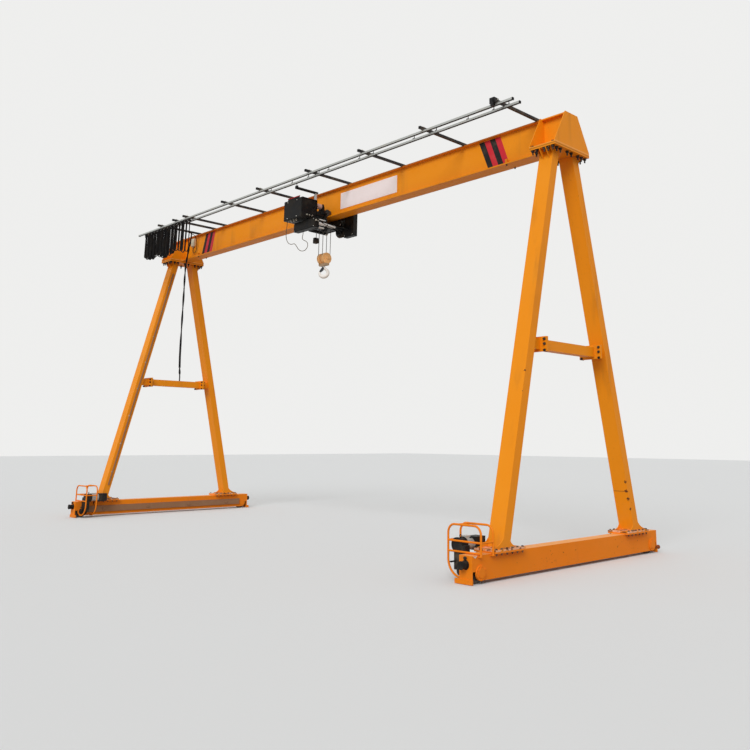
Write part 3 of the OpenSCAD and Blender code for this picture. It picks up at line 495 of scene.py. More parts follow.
class Shape:
    """Gathers the parts of one piece in a single mesh."""

    def __init__(self):
        self.mesh = bmesh.new()

    def stack(self, rings):
        """Skins rings of points and closes both ends."""
        made = [[self.mesh.verts.new(point) for point in ring] for ring in rings]
        for low, high in zip(made, made[1:]):
            n = max(len(low), len(high))
            for i in range(n):
                corners = [low[i % len(low)], low[(i + 1) % len(low)], high[(i + 1) % len(high)],
                           high[i % len(high)]]
                self.mesh.faces.new(list(dict.fromkeys(corners)))
        for ring in (made[0][::-1], made[-1]):
            if len(ring) > 2:
                self.mesh.faces.new(ring)
        return self

    def turned(self, profile, at=(0, 0, 0), along=(0, 0, 1), sides=20):
        """A solid of revolution from (radius, height) pairs, standing at a point."""
        stand = Vector(along).to_track_quat("Z", "Y").to_matrix()
        closed = [(0, profile[0][1]), *profile, (0, profile[-1][1])]
        return self.stack([[Vector(at) + stand @ Vector((radius * c, radius * s, height))
                            for c, s in around(sides if radius > 0 else 1)] for radius, height in closed])

    def tube(self, path, radius, sides=8):
        path = [Vector(p) for p in path]
        side = (path[1] - path[0]).orthogonal().normalized()
        rings = []
        for point, ahead_of in zip(path, headings(path)):
            side = (side - ahead_of * side.dot(ahead_of)).normalized()
            other = ahead_of.cross(side)
            rings.append([point + radius * (c * side + s * other) for c, s in around(sides)])
        return self.stack(rings)

    def band(self, path, across, wide, thick):
        """A flat strip along a path, its width along one direction."""
        path = [Vector(p) for p in path]
        across = Vector(across)
        rings = []
        for point, ahead_of in zip(path, headings(path)):
            up = ahead_of.cross(across).normalized()
            rings.append([point + across * wide / 2 * a + up * thick / 2 * b
                          for a, b in ((1, 1), (-1, 1), (-1, -1), (1, -1))])
        return self.stack(rings)

    def box(self, low, high, edge):
        """A box with rounded edges. It comes last in a shape, so that the faces keep one order."""
        low, high = Vector(low), Vector(high)
        place = Matrix.Translation((low + high) / 2) @ Matrix.Diagonal((*(high - low), 1))
        made = bmesh.ops.create_cube(self.mesh, size=1, matrix=place)["verts"]
        edges = list(dict.fromkeys(e for v in made for e in v.link_edges))
        bmesh.ops.bevel(self.mesh, geom=edges, offset=edge, segments=2, profile=0.5, affect="EDGES")
        return self

    def sheet(self, outline, lift):
        """A flat plate from its outline, with its thickness along lift."""
        return self.stack([[Vector(p) for p in outline], [Vector(p) + Vector(lift) for p in outline]])

    def outward(self):
        """Turns every face to look out, for parts that are drawn either way round."""
        bmesh.ops.recalc_face_normals(self.mesh, faces=self.mesh.faces)
        return self

    def cut(self, name, finish, sharp=32):
        """The finished mesh, smooth apart from edges sharper than an angle."""
        mesh = bpy.data.meshes.new(name)
        self.mesh.to_mesh(mesh)
        mesh.materials.append(finish)
        mesh.shade_smooth()
        mesh.set_sharp_from_angle(angle=math.radians(sharp))
        return mesh


print("shapes can be made")

# %% [markdown]
# A finished mesh becomes a piece, which rides on one of the crane's bodies.

# %% Pieces
def put(name, mesh, body):
    piece = bpy.data.objects.new(name, mesh)
    scene.collection.objects.link(piece)
    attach(piece, body)
    return piece


def add(name, shape, finish, body="structure", sharp=32):
    """One piece from its shape."""
    print(name, "made for the", body)
    return put(name, shape.cut(name, finish, sharp), body)


print("pieces can be added")

# %% [markdown]
# Bolts, clips and cable loops repeat all over the crane, so one Geometry Nodes tree sets them out. Its
# start mesh holds one point for each, with the direction it faces and its size. The tree stands a copy
# of the part on every point, turns it by a small random angle from a fixed seed, makes the copies real
# and puts the finish on. Arrays of objects would look the same, but could not take sizes from points.

# %% Setting out
INPUTS = {"Geometry": "Geometry", "Part": "Object", "Twist": "Float", "Seed": "Int", "Finish": "Material"}
set_out = Maker(bpy.data.node_groups.new("set_out", "GeometryNodeTree"))
shelf = set_out.tree.interface
keys = {name: shelf.new_socket(name, in_out="INPUT", socket_type="NodeSocket" + kind).identifier
        for name, kind in INPUTS.items()}
shelf.new_socket("Geometry", in_out="OUTPUT", socket_type="NodeSocketGeometry")
entry = set_out.tree.nodes.new("NodeGroupInput")
given = {name: Wire(set_out, entry.outputs[name]) for name in INPUTS}

part_in = set_out.node("GeometryNodeObjectInfo", {"transform_space": "ORIGINAL"},
                       {"Object": given["Part"], "As Instance": True}, out="Geometry")
vector = {"data_type": "FLOAT_VECTOR"}
facing, size_of = (set_out.node("GeometryNodeInputNamedAttribute", vector, {"Name": word})
                   for word in ("facing", "size"))
aimed = set_out.node("FunctionNodeAlignRotationToVector", {"axis": "Z"}, {"Vector": facing})
chance = set_out.node("FunctionNodeRandomValue", {"data_type": "FLOAT"},
                      {2: given["Twist"] * -1, 3: given["Twist"], "Seed": given["Seed"]}, out=1)
turn_by = set_out.node("FunctionNodeEulerToRotation", None,
                       {0: set_out.node("ShaderNodeCombineXYZ", None, {"Z": chance})})
spun = set_out.node("FunctionNodeRotateRotation", {"rotation_space": "LOCAL"},
                    {"Rotation": aimed, "Rotate By": turn_by})
stood = set_out.node("GeometryNodeInstanceOnPoints", None,
                     {"Points": given["Geometry"], "Instance": part_in, "Rotation": spun, "Scale": size_of})
whole = set_out.node("GeometryNodeRealizeInstances", None, {"Geometry": stood})
coated = set_out.node("GeometryNodeSetMaterial", None, {"Geometry": whole, "Material": given["Finish"]})
set_out.node("NodeGroupOutput", None, {"Geometry": coated})
print("the setting-out tree has", len(set_out.tree.nodes), "nodes")

# %% [markdown]
# The places of most bolts are rows and columns, and the crane's two ends are mirror images, so places
# are listed once for the right end. The tree is run as a modifier on a passing object, which leaves a
# plain mesh.

# %% Repeats
def repeat(name, shape, places, finish, seed, body="structure", twist=1.5):
    """Copies of a shape at places, each a point, a direction, and a size or the sizes of its axes."""
    points = bpy.data.meshes.new("places")
    points.from_pydata([place[0] for place in places], [], [])
    sizes = [place[2] if isinstance(place[2], tuple) else (place[2],) * 3 for place in places]
    for word, values in (("facing", [place[1] for place in places]), ("size", sizes)):
        points.attributes.new(word, "FLOAT_VECTOR", "POINT").data.foreach_set(
            "vector", [float(n) for value in values for n in value])
    holder = bpy.data.objects.new("holder", points)
    pattern = bpy.data.objects.new("part", shape.cut("part", finish))
    for scratch in (holder, pattern):
        scene.collection.objects.link(scratch)
    layout = holder.modifiers.new("layout", "NODES")
    layout.node_group = set_out.tree
    for key, value in {"Part": pattern, "Twist": twist, "Seed": seed, "Finish": finish}.items():
        layout[keys[key]] = value
    made = bpy.data.meshes.new_from_object(holder.evaluated_get(bpy.context.evaluated_depsgraph_get()))
    made.name = name
    holder.modifiers.remove(layout)
    for scratch in (holder, pattern):
        bpy.data.objects.remove(scratch)
    print(name, "set out", len(places), "times")
    return put(name, made, body)


def grid(xs, ys, zs, facing, size=1.0):
    """Places in rows, all facing one way."""
    return [((x, y, z), facing, size) for x in xs for y in ys for z in zs]


def pair(middle, half):
    """Two values, one on each side of a middle."""
    return (middle - half, middle + half)


def mirrored(places):
    """Places at the right frame of the portal, and their mirror images at the left one."""
    return [((s * p[0], p[1], p[2]), (s * d[0], d[1], d[2]), size) for s in BOTH for p, d, size in places]


print("parts can be repeated")

# %% [markdown]
# Every joint of the portal is bolted: the saddles to the legs' head plates, the legs' feet to the
# carriages and the cross ties to the legs. A hexagon head with a washer shows on one side, and a nut
# with the end of its bolt on the other. Heads are turned with six sides and a chamfer, to catch light.

# %% Bolts of the portal
def bolt_head(across, high):
    """A washer and a hexagon head, by its width across flats."""
    r = across / math.sqrt(3)
    washer = [(r * 1.2, 0), (r * 1.2, high * 0.22)]
    head = [(r, high * 0.2), (r, high * 0.88), (r * 0.86, high)]
    return Shape().turned(washer, sides=16).turned(head, sides=6)


def bolt_end(across, high, out):
    """A nut, with the bolt standing out of it."""
    r = across / math.sqrt(3)
    end = [(r * 0.5, high * 0.9), (r * 0.5, out - 0.002), (r * 0.42, out)]
    return bolt_head(across, high).turned(end, sides=12)


CENTRE = 5.5  # from the middle of the crane to each frame of the portal
HEAD_Z, SADDLE_Z = 5.74, 5.79
FOOT_Z, PLATE_Z = 0.36, 0.32
TIE_Z = 2.88
dark_bolt = worn_coat("dark_bolt", rgb(40, 36, 34), 0.25, 0.5, 0.5)
plated_bolt = zinc("plated_bolt", rgb(150, 140, 122), rgb(205, 200, 188), 0.4)
rust_bolt = zinc("rust_bolt", rgb(58, 44, 34), rgb(132, 112, 92), 0.6)

SADDLE_XS = (CENTRE - 0.175, CENTRE + 0.18)
SADDLE_YS = [s * y for y in (0.05, 0.22, 0.31, 0.4) for s in BOTH]
END_XS = (CENTRE - 0.1, CENTRE + 0.03, CENTRE + 0.1)
under = grid(SADDLE_XS, SADDLE_YS, [HEAD_Z], DOWN) + grid(END_XS, (0.4, -0.4), [HEAD_Z], DOWN)
over = grid(SADDLE_XS, SADDLE_YS[2:], [SADDLE_Z], UP)  # the girder stands over the middle pair
repeat("saddle_nuts", bolt_end(0.04, 0.03, 0.066), mirrored(under), dark_bolt, 3)
repeat("saddle_heads", bolt_head(0.036, 0.022), mirrored(over), dark_bolt, 4)

FOOT_XS = pair(CENTRE, 0.15)
FOOT_YS = [s * (1.225 + 0.098 * k) for k in range(6) for s in BOTH]
heads = grid(FOOT_XS, FOOT_YS, [FOOT_Z], UP)
nuts = grid(FOOT_XS, FOOT_YS, [PLATE_Z], DOWN)
repeat("foot_heads", bolt_head(0.024, 0.015), mirrored(heads), rust_bolt, 5)
repeat("foot_nuts", bolt_end(0.022, 0.016, 0.028), mirrored(nuts), rust_bolt, 6)

ties = [(x, s, TIE_Z + z) for x in pair(CENTRE, 0.147) for z in (-0.085, 0.0, 0.065) for s in BOTH]
heads = [((x, s * 0.632, z), (0, -s, 0), 1) for x, s, z in ties]
nuts = [((x, s * 0.668, z), (0, s, 0), 1) for x, s, z in ties]
repeat("tie_heads", bolt_head(0.03, 0.02), mirrored(heads), dark_bolt, 7)
repeat("tie_nuts", bolt_end(0.03, 0.022, 0.036), mirrored(nuts), dark_bolt, 8)

# %% [markdown]
# Slanted warning stripes, black and red in turn, mark each end of the girder. On the real one they are
# tape on the web, with a slight step at their edges. They could be a colour mask in the paint, but a
# strip with its own mesh keeps crisp edges at any distance, so each stripe is a very thin plate.

# %% Warning stripes
tape_black = worn_coat("tape_black", rgb(30, 30, 32), 0.12, 0.5, bump=0.06)
tape_red = worn_coat("tape_red", rgb(204, 26, 46), 0.1, 0.4, bump=0.06, shine=0.35)
WEB_Y = 0.065
TAPE = 0.0008  # its thickness
STRIPE_TOP, STRIPE_LOW = 6.297, 5.812


def stripes(end, top, low):
    """Four stripes between two slanted edges, on both webs."""
    for n, tape in enumerate((tape_black, tape_red, tape_black, tape_red)):
        (a, b), (c, d) = ([edge[0] + (edge[1] - edge[0]) * k / 4 for k in (n, n + 1)] for edge in (low, top))
        corners = [(a, STRIPE_LOW), (b, STRIPE_LOW), (d, STRIPE_TOP), (c, STRIPE_TOP)]
        shape = Shape()
        for side in (-1, 1):
            shape.sheet([(x, side * WEB_Y, z) for x, z in corners[::-side]], (0, side * TAPE, 0))
        add(f"stripe_{end}_{n + 1}", shape, tape)


stripes("right", (4.01, 4.45), (4.2, 4.62))
stripes("left", (-4.38, -3.97), (-4.53, -4.09))

# %% [markdown]
# The flat cables that feed the hoist are parked at the left end in a row of loops. Each loop hangs from
# the saddle of one cable trolley to the next, up to three cables side by side and two deep. A band is
# swept along half an arch, down one leg, round the bottom and up the other leg, and the setting-out
# tree stands a copy on every gap and stretches each to its own depth, since no two loops hang alike.

# %% Festoon loops
RAIL_Y = -1.04
SADDLE_TOP = 6.254
FIRST_X, SPACING = -5.36, 0.15
DEPTH = 0.61
ARCH = 0.021  # radius of the trolley's saddle


def loop_path(inset, depth):
    """Half a loop's centre line, then its mirror image."""
    edge = SPACING / 2
    half = [(-edge + ARCH * math.sin(a), -0.019 + ARCH * math.cos(a)) for a in (0, 0.5, 1.0, 1.5)]
    half += [(-edge + 0.022 - 0.004 * t + inset * t, -0.019 - (depth - 0.085) * t)
             for t in (0.12, 0.3, 0.5, 0.7, 0.88, 1.0)]
    turn_r = edge - 0.018 - inset
    low = -0.019 - (depth - 0.08)
    half += [(-turn_r * math.cos(a), low - turn_r * math.sin(a)) for a in (0.3, 0.6, 0.9, 1.2)]
    return [(x, 0, z) for x, z in half] + [(0, 0, low - turn_r)] + [(-x, 0, z) for x, z in reversed(half)]


LANE = 0.0215
WIDE, SPLIT, LONE = (-LANE, 0.0, LANE), (-LANE, LANE), (LANE,)
LANES = [WIDE, WIDE, WIDE, SPLIT, WIDE, WIDE, WIDE, SPLIT, WIDE, SPLIT, LONE, SPLIT, LONE]
dice = random.Random(11)
for layer, inset in (("outer", 0.0), ("inner", 0.011)):
    cable_loop = Shape().band(loop_path(inset, DEPTH - 2 * inset), (0, 1, 0), 0.0185, 0.0085)
    hung = []
    for k, lanes in enumerate(LANES):
        if layer == "inner" and (k > 6 or len(lanes) < 3):
            continue
        fall = 0.93 + 0.15 * min(k, 5) / 5 + 0.055 * math.sin(k * 1.17)
        for lane in lanes:
            middle = (FIRST_X + (k + 0.5) * SPACING, RAIL_Y + lane, SADDLE_TOP)
            hung.append((middle, UP, (1, 1, fall + dice.uniform(-0.045, 0.05))))
    loops = repeat(f"festoon_loops_{layer}", cable_loop, hung, cable_sheath, 21, twist=0.07)
    if layer == "outer":
        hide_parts("festoon_cable")

carrier = Shape()
for x in (-0.03, 0.03):
    carrier.turned([(0.012, -0.017), (0.012, 0.017)], (x, 0, -0.013), FAR, 12)
carrier.box((-0.046, -0.013, -0.024), (0.046, 0.013, -0.002), 0.003)
hangers = grid([FIRST_X + k * SPACING for k in range(len(LANES) + 1)], [RAIL_Y], [6.286], UP)
repeat("cable_carriers", carrier, hangers, black_arm, 22, twist=0.0)

# %% [markdown]
# Four falls of steel rope carry the hook block. Each is a straight tube with points only at its two
# ends, one at the hoist and one at the block. The twist of its strands is drawn by the finish.

# %% Rope falls
FALL_TOP, BLOCK_Z = 5.5997, 5.03
FALL_X, FALL_Y = 0.06, 0.0923
ROPE_RADIUS = 0.006
strand = Finish("wire_rope")
wind = (strand.axis("Z") * 420 + strand.axis("X") * 900 + strand.axis("Y") * 700).wave()
# The strands are dark in their grooves and pale on their crowns: painted shade and painted highlights along
# the twist
strand_shade_and_light = strand.mix(wind.between(-0.6, 0.8), rgb(58, 54, 48), rgb(160, 155, 146))
wire_rope = strand.surface(strand_shade_and_light, 0.5, 0.6, bump=(wind, 0.6, 0.001))
falls = Shape()
for x in (-FALL_X, FALL_X):
    for y in (-FALL_Y, FALL_Y):
        falls.stack([[(x + ROPE_RADIUS * c, y + ROPE_RADIUS * s, z) for c, s in around(12)]
                     for z in (BLOCK_Z, FALL_TOP)])
rope_falls = bpy.data.objects.new("rope_falls", falls.cut("rope_falls", wire_rope, 60))
scene.collection.objects.link(rope_falls)
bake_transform(rope_falls)
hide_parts("ropes")
print("rope falls", round(FALL_TOP - BLOCK_Z, 2), "m long")

# %% [markdown]
# The hook has a spring latch across its throat, so that a sling can't jump out. It is a folded sheet
# of dark steel that swings on a pin through the hook's neck.

# %% Hook latch
HOOK_TURN = math.radians(45)
LATCH = [(-0.022, -0.16), (0.006, -0.178), (-0.006, -0.226), (-0.058, -0.268), (-0.084, -0.252),
         (-0.052, -0.2)]
HALF_LATCH, HALF_PIN = 0.021, 0.028
latch_steel = worn_coat("latch_steel", rgb(52, 54, 56), 0.2, 0.45, 0.6)


def on_hook(u, v, z):
    """A point of the hook's own plane: along it, across it and up from the sheaves' axle."""
    c, s = math.cos(HOOK_TURN), math.sin(HOOK_TURN)
    return (u * c - v * s, u * s + v * c, BLOCK_Z + z)


latch = Shape().stack([[on_hook(u, v, z) for u, z in LATCH] for v in (-HALF_LATCH, HALF_LATCH)])
latch.turned([(0.007, -HALF_PIN), (0.007, HALF_PIN)], on_hook(-0.006, 0, -0.182), on_hook(0, 1, -BLOCK_Z), 12)
add("hook_latch", latch.outward(), latch_steel, "hook")

# %% [markdown]
# The hoist's two black electric boxes hang on the near side of the girder. Their lids are held by
# pale screws, cables enter by plated glands underneath, and a red strip runs along the top edge. The
# trolley's wheel axles end in nuts outside the side plates.

# %% Hoist fittings
pale_screw = zinc("pale_screw", rgb(180, 178, 170), rgb(226, 224, 216), 0.35)
screw = Shape().turned([(0.009, 0), (0.009, 0.003), (0.006, 0.0055)], sides=16)
LID_Y, LOWER_LID_Y, HOUSING_Y = -0.756, -0.606, 0.229
lid_screws = grid((-0.2, 0.085), [LID_Y], (5.712, 6.03), NEAR)
lid_screws += grid((-0.17, 0.425), [LOWER_LID_Y], (5.49, 5.63), NEAR, 0.7)
lid_screws += grid((0.312, 0.543), [HOUSING_Y], (5.47, 5.87), NEAR, 0.8)
repeat("lid_screws", screw, lid_screws, pale_screw, 31, body="hoist")

gland_side = [(0.021, 0), (0.021, 0.01), (0.0175, 0.012), (0.0175, 0.03), (0.012, 0.036)]
gland = Shape().turned(gland_side, sides=6)
glands = grid((-0.22, -0.14, -0.06, 0.02), [-0.7], [5.68], DOWN)
glands += grid([0.445], (-0.57, -0.52), [5.6], RIGHT, 0.8)
glands += grid([0.25], (-0.64, -0.58, -0.52), [5.73], RIGHT, 0.8)
repeat("cable_glands", gland, glands, plated_bolt, 32, body="hoist")

# The near right axle has no nut, since the travel drive sits there
axles = [((x, s * 0.198, 5.8703), (0, s, 0), 1) for x, s in ((-0.24, -1), (-0.24, 1), (0.21, 1))]
repeat("axle_nuts", bolt_end(0.046, 0.026, 0.036), axles, plated_bolt, 33, body="hoist")
cheeks = [((x, s * 0.19, z), (0, s, 0), 1) for x in (-0.1, 0, 0.1) for z in (5.625, 5.675) for s in (-1, 1)]
repeat("cheek_bolts", bolt_head(0.024, 0.016), cheeks, dark_bolt, 34, body="hoist")

strip_red = worn_coat("red_strip", rgb(190, 28, 34), 0.12, 0.5)
fin = Shape().box((-0.238, -0.729, 6.0595), (0.128, -0.721, 6.102), 0.002)
add("strip_fin", fin, black_coat, "hoist")
strip = Shape().box((-0.24, -0.732, 6.098), (0.13, -0.718, 6.114), 0.002)
add("red_strip", strip, strip_red, "hoist")

# %% [markdown]
# Short black cables tie the hoist's boxes to its motors and its limit switch. They are clipped along
# the trolley, so each is a tube along a smooth path that keeps its place.

# %% Hoist cables
WIRE_ROUTES = [
    [(0.279, -0.64, 5.73), (0.32, -0.64, 5.728), (0.35, -0.6, 5.705), (0.345, -0.5, 5.675),
     (0.325, -0.4, 5.662), (0.3, -0.3, 5.66), (0.292, -0.195, 5.67)],
    [(0.279, -0.58, 5.73), (0.3, -0.575, 5.745), (0.3, -0.53, 5.82), (0.27, -0.46, 5.9),
     (0.22, -0.4, 5.955), (0.2, -0.345, 5.965)],
    [(0.474, -0.57, 5.6), (0.51, -0.565, 5.592), (0.525, -0.5, 5.575), (0.52, -0.36, 5.562),
     (0.5, -0.2, 5.557), (0.475, 0.0, 5.56), (0.46, 0.16, 5.565), (0.455, 0.23, 5.57)],
    [(0.474, -0.52, 5.6), (0.495, -0.51, 5.585), (0.495, -0.44, 5.555), (0.47, -0.3, 5.535),
     (0.43, -0.1, 5.525), (0.36, 0.06, 5.52), (0.29, 0.15, 5.52), (0.24, 0.2, 5.53),
     (0.215, 0.24, 5.56)],
]
wires = Shape()
for route in WIRE_ROUTES:
    wires.tube(smooth(route), 0.0065)
add("hoist_wiring", wires, cable_sheath, "hoist", 60)

# %% [markdown]
# Round-bar hooks stand on the inner festoon rail to keep the cables from sliding, and every rail and
# arm ends in a black cap. A bolt through each arm holds each rail.

# %% Festoon fittings
RAIL_YS = (RAIL_Y, -0.88)
RAIL_TOP, ARM_TOP = 6.32, 6.36
ARMS = (5.2, 3.72, 2.27, 0.82, -0.72, -1.98, -3.53, -3.98, -4.64)
GUIDES = (-0.59, 0.09, 0.59, 0.9, 1.18, 2.02, 2.37, 3.35, 3.84, 4.5, 5.0, 5.28)
guide_bar = [(0, 0, 0.004), (0, 0, 0.045), (0.006, 0, 0.06), (0.02, 0, 0.066), (0.032, 0, 0.058)]
guide = Shape().tube(smooth(guide_bar, 6), 0.0062).box((-0.022, -0.021, 0), (0.022, 0.021, 0.01), 0.002)
repeat("rail_guides", guide, grid(GUIDES, RAIL_YS[1:], [RAIL_TOP], UP), black_coat, 41,
       twist=0.25)

cap = Shape().box((-0.021, -0.021, 0), (0.021, 0.021, 0.014), 0.004)
caps = grid([5.47], RAIL_YS, [RAIL_TOP - 0.019], RIGHT) + grid([-5.72], RAIL_YS, [RAIL_TOP - 0.019], LEFT)
caps += grid(ARMS, [-1.13], [ARM_TOP - 0.02], NEAR, (1.03, 1.03, 0.6))
repeat("rail_and_arm_caps", cap, caps, black_coat, 42, twist=0.0)
repeat("rail_bolts", bolt_end(0.019, 0.011, 0.024), grid(ARMS, RAIL_YS, [ARM_TOP], UP), plated_bolt, 43)

# %% [markdown]
# The pale junction box on the girder has a lid held by four screws. A cable drops out of the gland
# below it and goes round to the festoon.

# %% Junction box
BOX_X, BOX_Z = -4.905, 6.17  # middle of the box
LID_FACE = -0.1165
lid = Shape().box((BOX_X - 0.061, LID_FACE, BOX_Z - 0.091), (BOX_X + 0.061, -0.11, BOX_Z + 0.091), 0.003)
add("junction_lid", lid, box_cream)
lid_corners = grid(pair(BOX_X, 0.047), [LID_FACE], pair(BOX_Z, 0.077), NEAR, 0.7)
repeat("junction_screws", screw, lid_corners, pale_screw, 44)
repeat("junction_gland", gland, [((BOX_X, -0.088, 6.075), DOWN, 0.8)], plated_bolt, 45, twist=0.0)
feed = [(BOX_X, -0.088, 6.048), (BOX_X, -0.09, 5.99), (-4.88, -0.096, 5.93), (-4.8, -0.1, 5.905),
        (-4.73, -0.102, 5.96), (-4.7, -0.115, 6.1), (-4.69, -0.15, 6.23), (-4.68, -0.2, 6.29),
        (-4.675, -0.4, 6.335), (-4.672, -0.7, 6.338), (-4.67, -0.85, 6.332)]
add("junction_cable", Shape().tube(smooth(feed), 0.007), cable_sheath, sharp=60)

# %% [markdown]
# The supply cable comes down from the festoon to the left cross tie. It is two strands that wind round
# each other, taped at short steps and bound in a thick knot near the tie. A texture could show the
# winding, but only tubes along a spiral give its outline. Clips hold the conduit on the near left leg.

# %% Supply cable and conduit
SUPPLY_LOW, SUPPLY_HIGH = 2.9503, 6.3197
SUPPLY = [(0.86, -0.3, 0.985), (0.83, -0.29, 0.955), (0.755, -0.266, 0.925), (0.665, -0.24, 0.89),
          (0.58, -0.214, 0.85), (0.51, -0.192, 0.81), (0.46, -0.176, 0.77), (0.42, -0.155, 0.7),
          (0.38, -0.13, 0.61), (0.335, -0.103, 0.5), (0.29, -0.076, 0.39), (0.24, -0.045, 0.27),
          (0.19, -0.012, 0.165), (0.145, 0.025, 0.09), (0.105, 0.06, 0.045)]
supply = [Vector((x - CENTRE, y, SUPPLY_LOW + share * (SUPPLY_HIGH - SUPPLY_LOW))) for x, y, share in SUPPLY]
tape_turn = [(0.0165, -0.008), (0.0175, 0), (0.0165, 0.008)]
binding = Shape()
for a, b in zip(supply, supply[1:]):
    for t in (0.25, 0.75):
        binding.turned(tape_turn, a.lerp(b, t), (b - a).normalized(), 12)
between = [a.lerp(b, 0.5) for a, b in zip(supply[11:], supply[12:])]
binding.tube([supply[11], between[0], supply[12], between[1], supply[13]], 0.024, 12)
add("supply_binding", binding, cable_sheath, sharp=50)

strands = Shape()
run = smooth(supply[1:], 8)
for turn_on in (0, math.pi):
    winding = []
    for i, (point, along) in enumerate(zip(run, headings(run))):
        side = along.cross(Vector((0, 1, 0))).normalized()
        a = turn_on + i * 0.3
        winding.append(point + 0.0125 * (math.cos(a) * side + math.sin(a) * along.cross(side)))
    strands.tube(winding, 0.0105)
add("supply_strands", strands, cable_sheath, sharp=60)

LEG_LOW_Y, LEG_HIGH_Y = 1.5, 0.23
leg_slope = (LEG_LOW_Y - LEG_HIGH_Y) / (HEAD_Z - FOOT_Z)
clip = Shape().box((-0.004, -0.02, 0), (0.02, 0.02, 0.03), 0.003)
held = [((-5.38, leg_slope * (z - FOOT_Z) - LEG_LOW_Y, z), UP, 1)
        for z in (0.9, 1.5, 2.1, 2.7, 3.3, 3.9, 4.5, 5.1)]
repeat("conduit_clips", clip, held, plated_bolt, 46, twist=0.0)

# %% [markdown]
# Each travel drive gets what a geared motor has: rings of a fan grille on the cowl's end, screws on
# its corners, a lifting eye, and a cable from its terminal box down to the carriage.

# %% Travel drives
MOTOR_X, MOTOR_Z, COWL_Y = 5.245, 0.405, -1.532
GRILLE_WIRE, SPOKE = 0.0025, 0.062
grille = Shape()
for radius in (0.016, 0.03, 0.044, 0.058):
    grille.tube([(radius * c, radius * s, GRILLE_WIRE) for c, s in around(32, 33)], GRILLE_WIRE, 6)
for c, s in around(8, 4):
    spoke = [(SPOKE * c, SPOKE * s, 0.002), (0, 0, 0.003), (-SPOKE * c, -SPOKE * s, 0.002)]
    grille.tube(spoke, GRILLE_WIRE, 6)
repeat("fan_grilles", grille, mirrored([((MOTOR_X, COWL_Y, MOTOR_Z), FAR, 1)]), motor_grey, 51,
       twist=0.0)
screws = grid(pair(MOTOR_X, 0.066), [COWL_Y], pair(MOTOR_Z, 0.066), FAR, 0.6)
screws += grid(pair(MOTOR_X - 0.015, 0.028), pair(-1.782, 0.036), [0.497], UP, 0.6)
repeat("drive_screws", screw, mirrored(screws), pale_screw, 52)
eye = Shape().tube([(0.014 * c, 0, 0.02 + 0.014 * s) for c, s in around(16, 17)], 0.0045)
eye.turned([(0.011, 0), (0.011, 0.008)], sides=12)
repeat("lifting_eyes", eye, mirrored([((MOTOR_X, -1.895, 0.4805), UP, 1)]), dark_bolt, 53, twist=0.0)

DRIVE_ROUTE = [(5.249, -1.755, 0.47), (5.295, -1.742, 0.475), (5.325, -1.735, 0.452), (5.35, -1.725, 0.4),
               (5.366, -1.72, 0.34), (5.385, -1.715, 0.29), (5.398, -1.712, 0.25)]
drive_wires = Shape()
for s in BOTH:
    drive_wires.tube(smooth([(s * x, y, z) for x, y, z in DRIVE_ROUTE]), 0.0075)
add("drive_wires", drive_wires.outward(), cable_sheath, sharp=60)

# %% [markdown]
# The bearings of a carriage are held by a ring of bolts round each cover. There is a round knob on its
# near end plate, a short rusty stub at its far end, and a pale lifting lug welded beside the wheel.

# %% Carriages
BEARING_Y, BEARING_Z, RING = 1.942, 0.125, 0.072
ring_bolts = [((5.614, y + RING * c, BEARING_Z + RING * s), RIGHT, 1) for y in (-BEARING_Y, BEARING_Y)
              for c, s in around(6, start=0.5)]
repeat("bearing_bolts", bolt_head(0.013, 0.008), mirrored(ring_bolts), carriage_paint, 54)
knob = Shape().turned([(0.011, 0), (0.011, 0.01), (0.019, 0.014), (0.02, 0.028), (0.016, 0.034)])
repeat("end_knobs", knob, mirrored([((5.508, -2.09, 0.294), NEAR, 1)]), rubber, 55, twist=0.0)
stub = Shape().turned([(0.022, 0), (0.022, 0.05), (0.03, 0.052), (0.03, 0.072), (0.024, 0.078)])
rusty = worn_coat("rusty", rgb(150, 78, 40), 0.25, 0.7, dusty=RUST)
repeat("far_stub", stub, [((5.592, 2.078, 0.074), FAR, 1)], rusty, 57, twist=0.0)

lug_white = worn_coat("lug_white", rgb(222, 214, 204), 0.3, 0.5)
LUG = [(-2.075, 0.318), (-2.04, 0.29), (-2.005, 0.318), (-2.022, 0.318), (-2.04, 0.303), (-2.058, 0.318)]
lug = Shape().sheet([(5.6, y, z) for y, z in LUG], (0.004, 0, 0))
add("pale_lug", lug.outward(), lug_white)

# %% [markdown]
# The girder and legs are welded from plate. A bead runs along every inside corner, where the web
# meets the flanges and where a leg meets its plates. Each bead is a thin ridge with its own ripples.
# Under the saddles, small gussets stiffen the head plates past the legs.

# %% Weld beads and gussets
bead = Finish("weld_bead")
ripple = (bead.axis("X") * 900 + bead.axis("Y") * 900 + bead.axis("Z") * 900).wave()
bead_tone = bead.mix(bead.noise(5, 3).between(0.5, 0.7) * 0.4, rgb(226, 136, 22), rgb(160, 88, 30))
weld_bead = bead.surface(bead_tone, 0.42, bump=(ripple, 0.5, 0.001))
beads = Shape()
for y in (-0.068, 0.068):
    for z in (5.813, STRIPE_TOP):
        beads.tube([(-5.27, y, z), (0, y, z), (5.27, y, z)], 0.0045, 6)

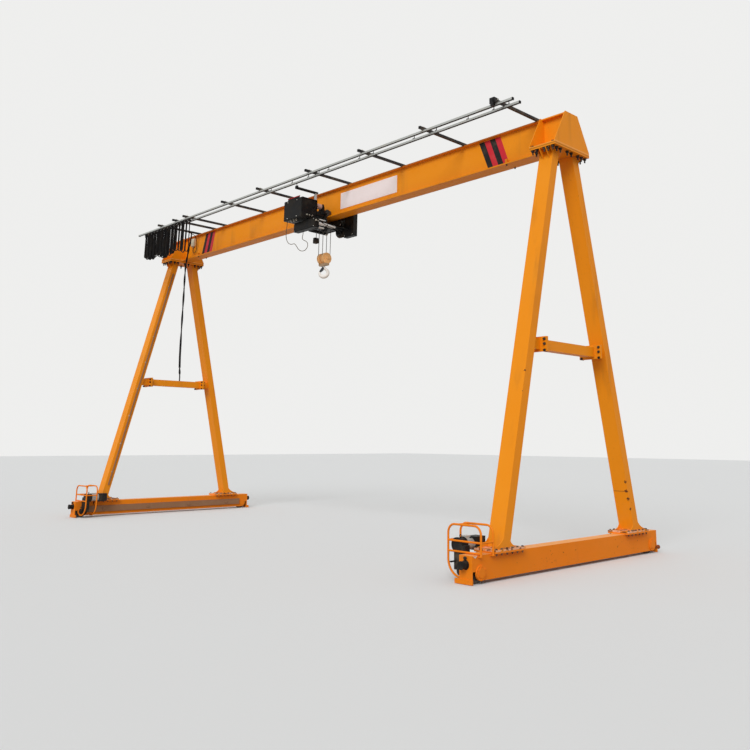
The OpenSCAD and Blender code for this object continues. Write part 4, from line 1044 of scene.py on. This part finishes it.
HALF_LEG_X, HALF_LEG_Y = 0.12, 0.07
LEG_ENDS = ((LEG_LOW_Y, FOOT_Z + 0.003), (LEG_HIGH_Y, HEAD_Z - 0.003))
gussets = Shape()
for s, e in ((1, 1), (1, -1), (-1, 1), (-1, -1)):
    for y, z in LEG_ENDS:
        foot = [Vector((s * CENTRE + a * HALF_LEG_X, e * y + b * HALF_LEG_Y, z))
                for a, b in ((-1, -1), (1, -1), (1, 1), (-1, 1), (-1, -1))]
        for a, b in zip(foot, foot[1:]):
            beads.tube([a, a.lerp(b, 0.5), b], 0.005, 6)
    for x in (-0.041, 0.065):
        gusset = [(0.285, 5.741), (0.425, 5.741), (0.425, 5.725), (0.34, 5.6), (0.32, 5.6)]
        gussets.stack([[(s * CENTRE + x + t, e * y, z) for y, z in gusset] for t in (-0.006, 0.006)])
add("weld_beads", beads, weld_bead, sharp=60)
add("head_gussets", gussets.outward(), crane_paint)

# %% [markdown]
# The crane stands on a plain pale floor under a soft sky, with one broad sun from the near side. The
# floor and the sky look pale to the camera and to reflections, while the light that falls on the
# crane stays at a level where a colour looks as it was written.

# %% Floor, sky and sun
SUN_FROM = Vector((0.44, -0.76, 0.62))
SUN_STRENGTH, SKY_STRENGTH = 1.85, 0.55
SKY_LIT, SKY_SEEN = (1.0, 0.955, 0.9, 1.0), (0.86, 0.86, 0.85, 1.0)
FLOOR_LIT, FLOOR_SEEN = (0.38, 0.315, 0.27, 1.0), (0.755, 0.785, 0.81, 1.0)
FLOOR = 70

floor_mesh = bpy.data.meshes.new("floor")
floor_mesh.from_pydata([(-FLOOR, -FLOOR, 0), (FLOOR, -FLOOR, 0), (FLOOR, FLOOR, 0), (-FLOOR, FLOOR, 0)], [],
                       [(0, 1, 2, 3)])
floor = bpy.data.objects.new("floor", floor_mesh)
scene.collection.objects.link(floor)
ground = Finish("pale_floor")
floor_mesh.materials.append(ground.surface(ground.mix(ground.seen(), FLOOR_LIT, FLOOR_SEEN), 0.9))

sun_lamp = bpy.data.lights.new("sun", "SUN")
sun_lamp.energy = SUN_STRENGTH
sun_lamp.angle = math.radians(35)
sun = bpy.data.objects.new("sun", sun_lamp)
sun.rotation_euler = SUN_FROM.to_track_quat("Z", "Y").to_euler()
scene.collection.objects.link(sun)

scene.world = bpy.data.worlds.new("sky")
scene.world.use_nodes = True
sky = Maker(scene.world.node_tree)
sky.tree.nodes.clear()
lit = sky.node("ShaderNodeBackground", None, {"Color": SKY_LIT, "Strength": SKY_STRENGTH})
shown = sky.node("ShaderNodeBackground", None, {"Color": SKY_SEEN, "Strength": 1.0})
whole_sky = sky.node("ShaderNodeMixShader", None, {0: sky.seen(), 1: lit, 2: shown})
sky.node("ShaderNodeOutputWorld", None, {"Surface": whole_sky})
scene.view_settings.view_transform = "Standard"
print("lit by a sun of", SUN_STRENGTH, "and a sky of", SKY_STRENGTH)
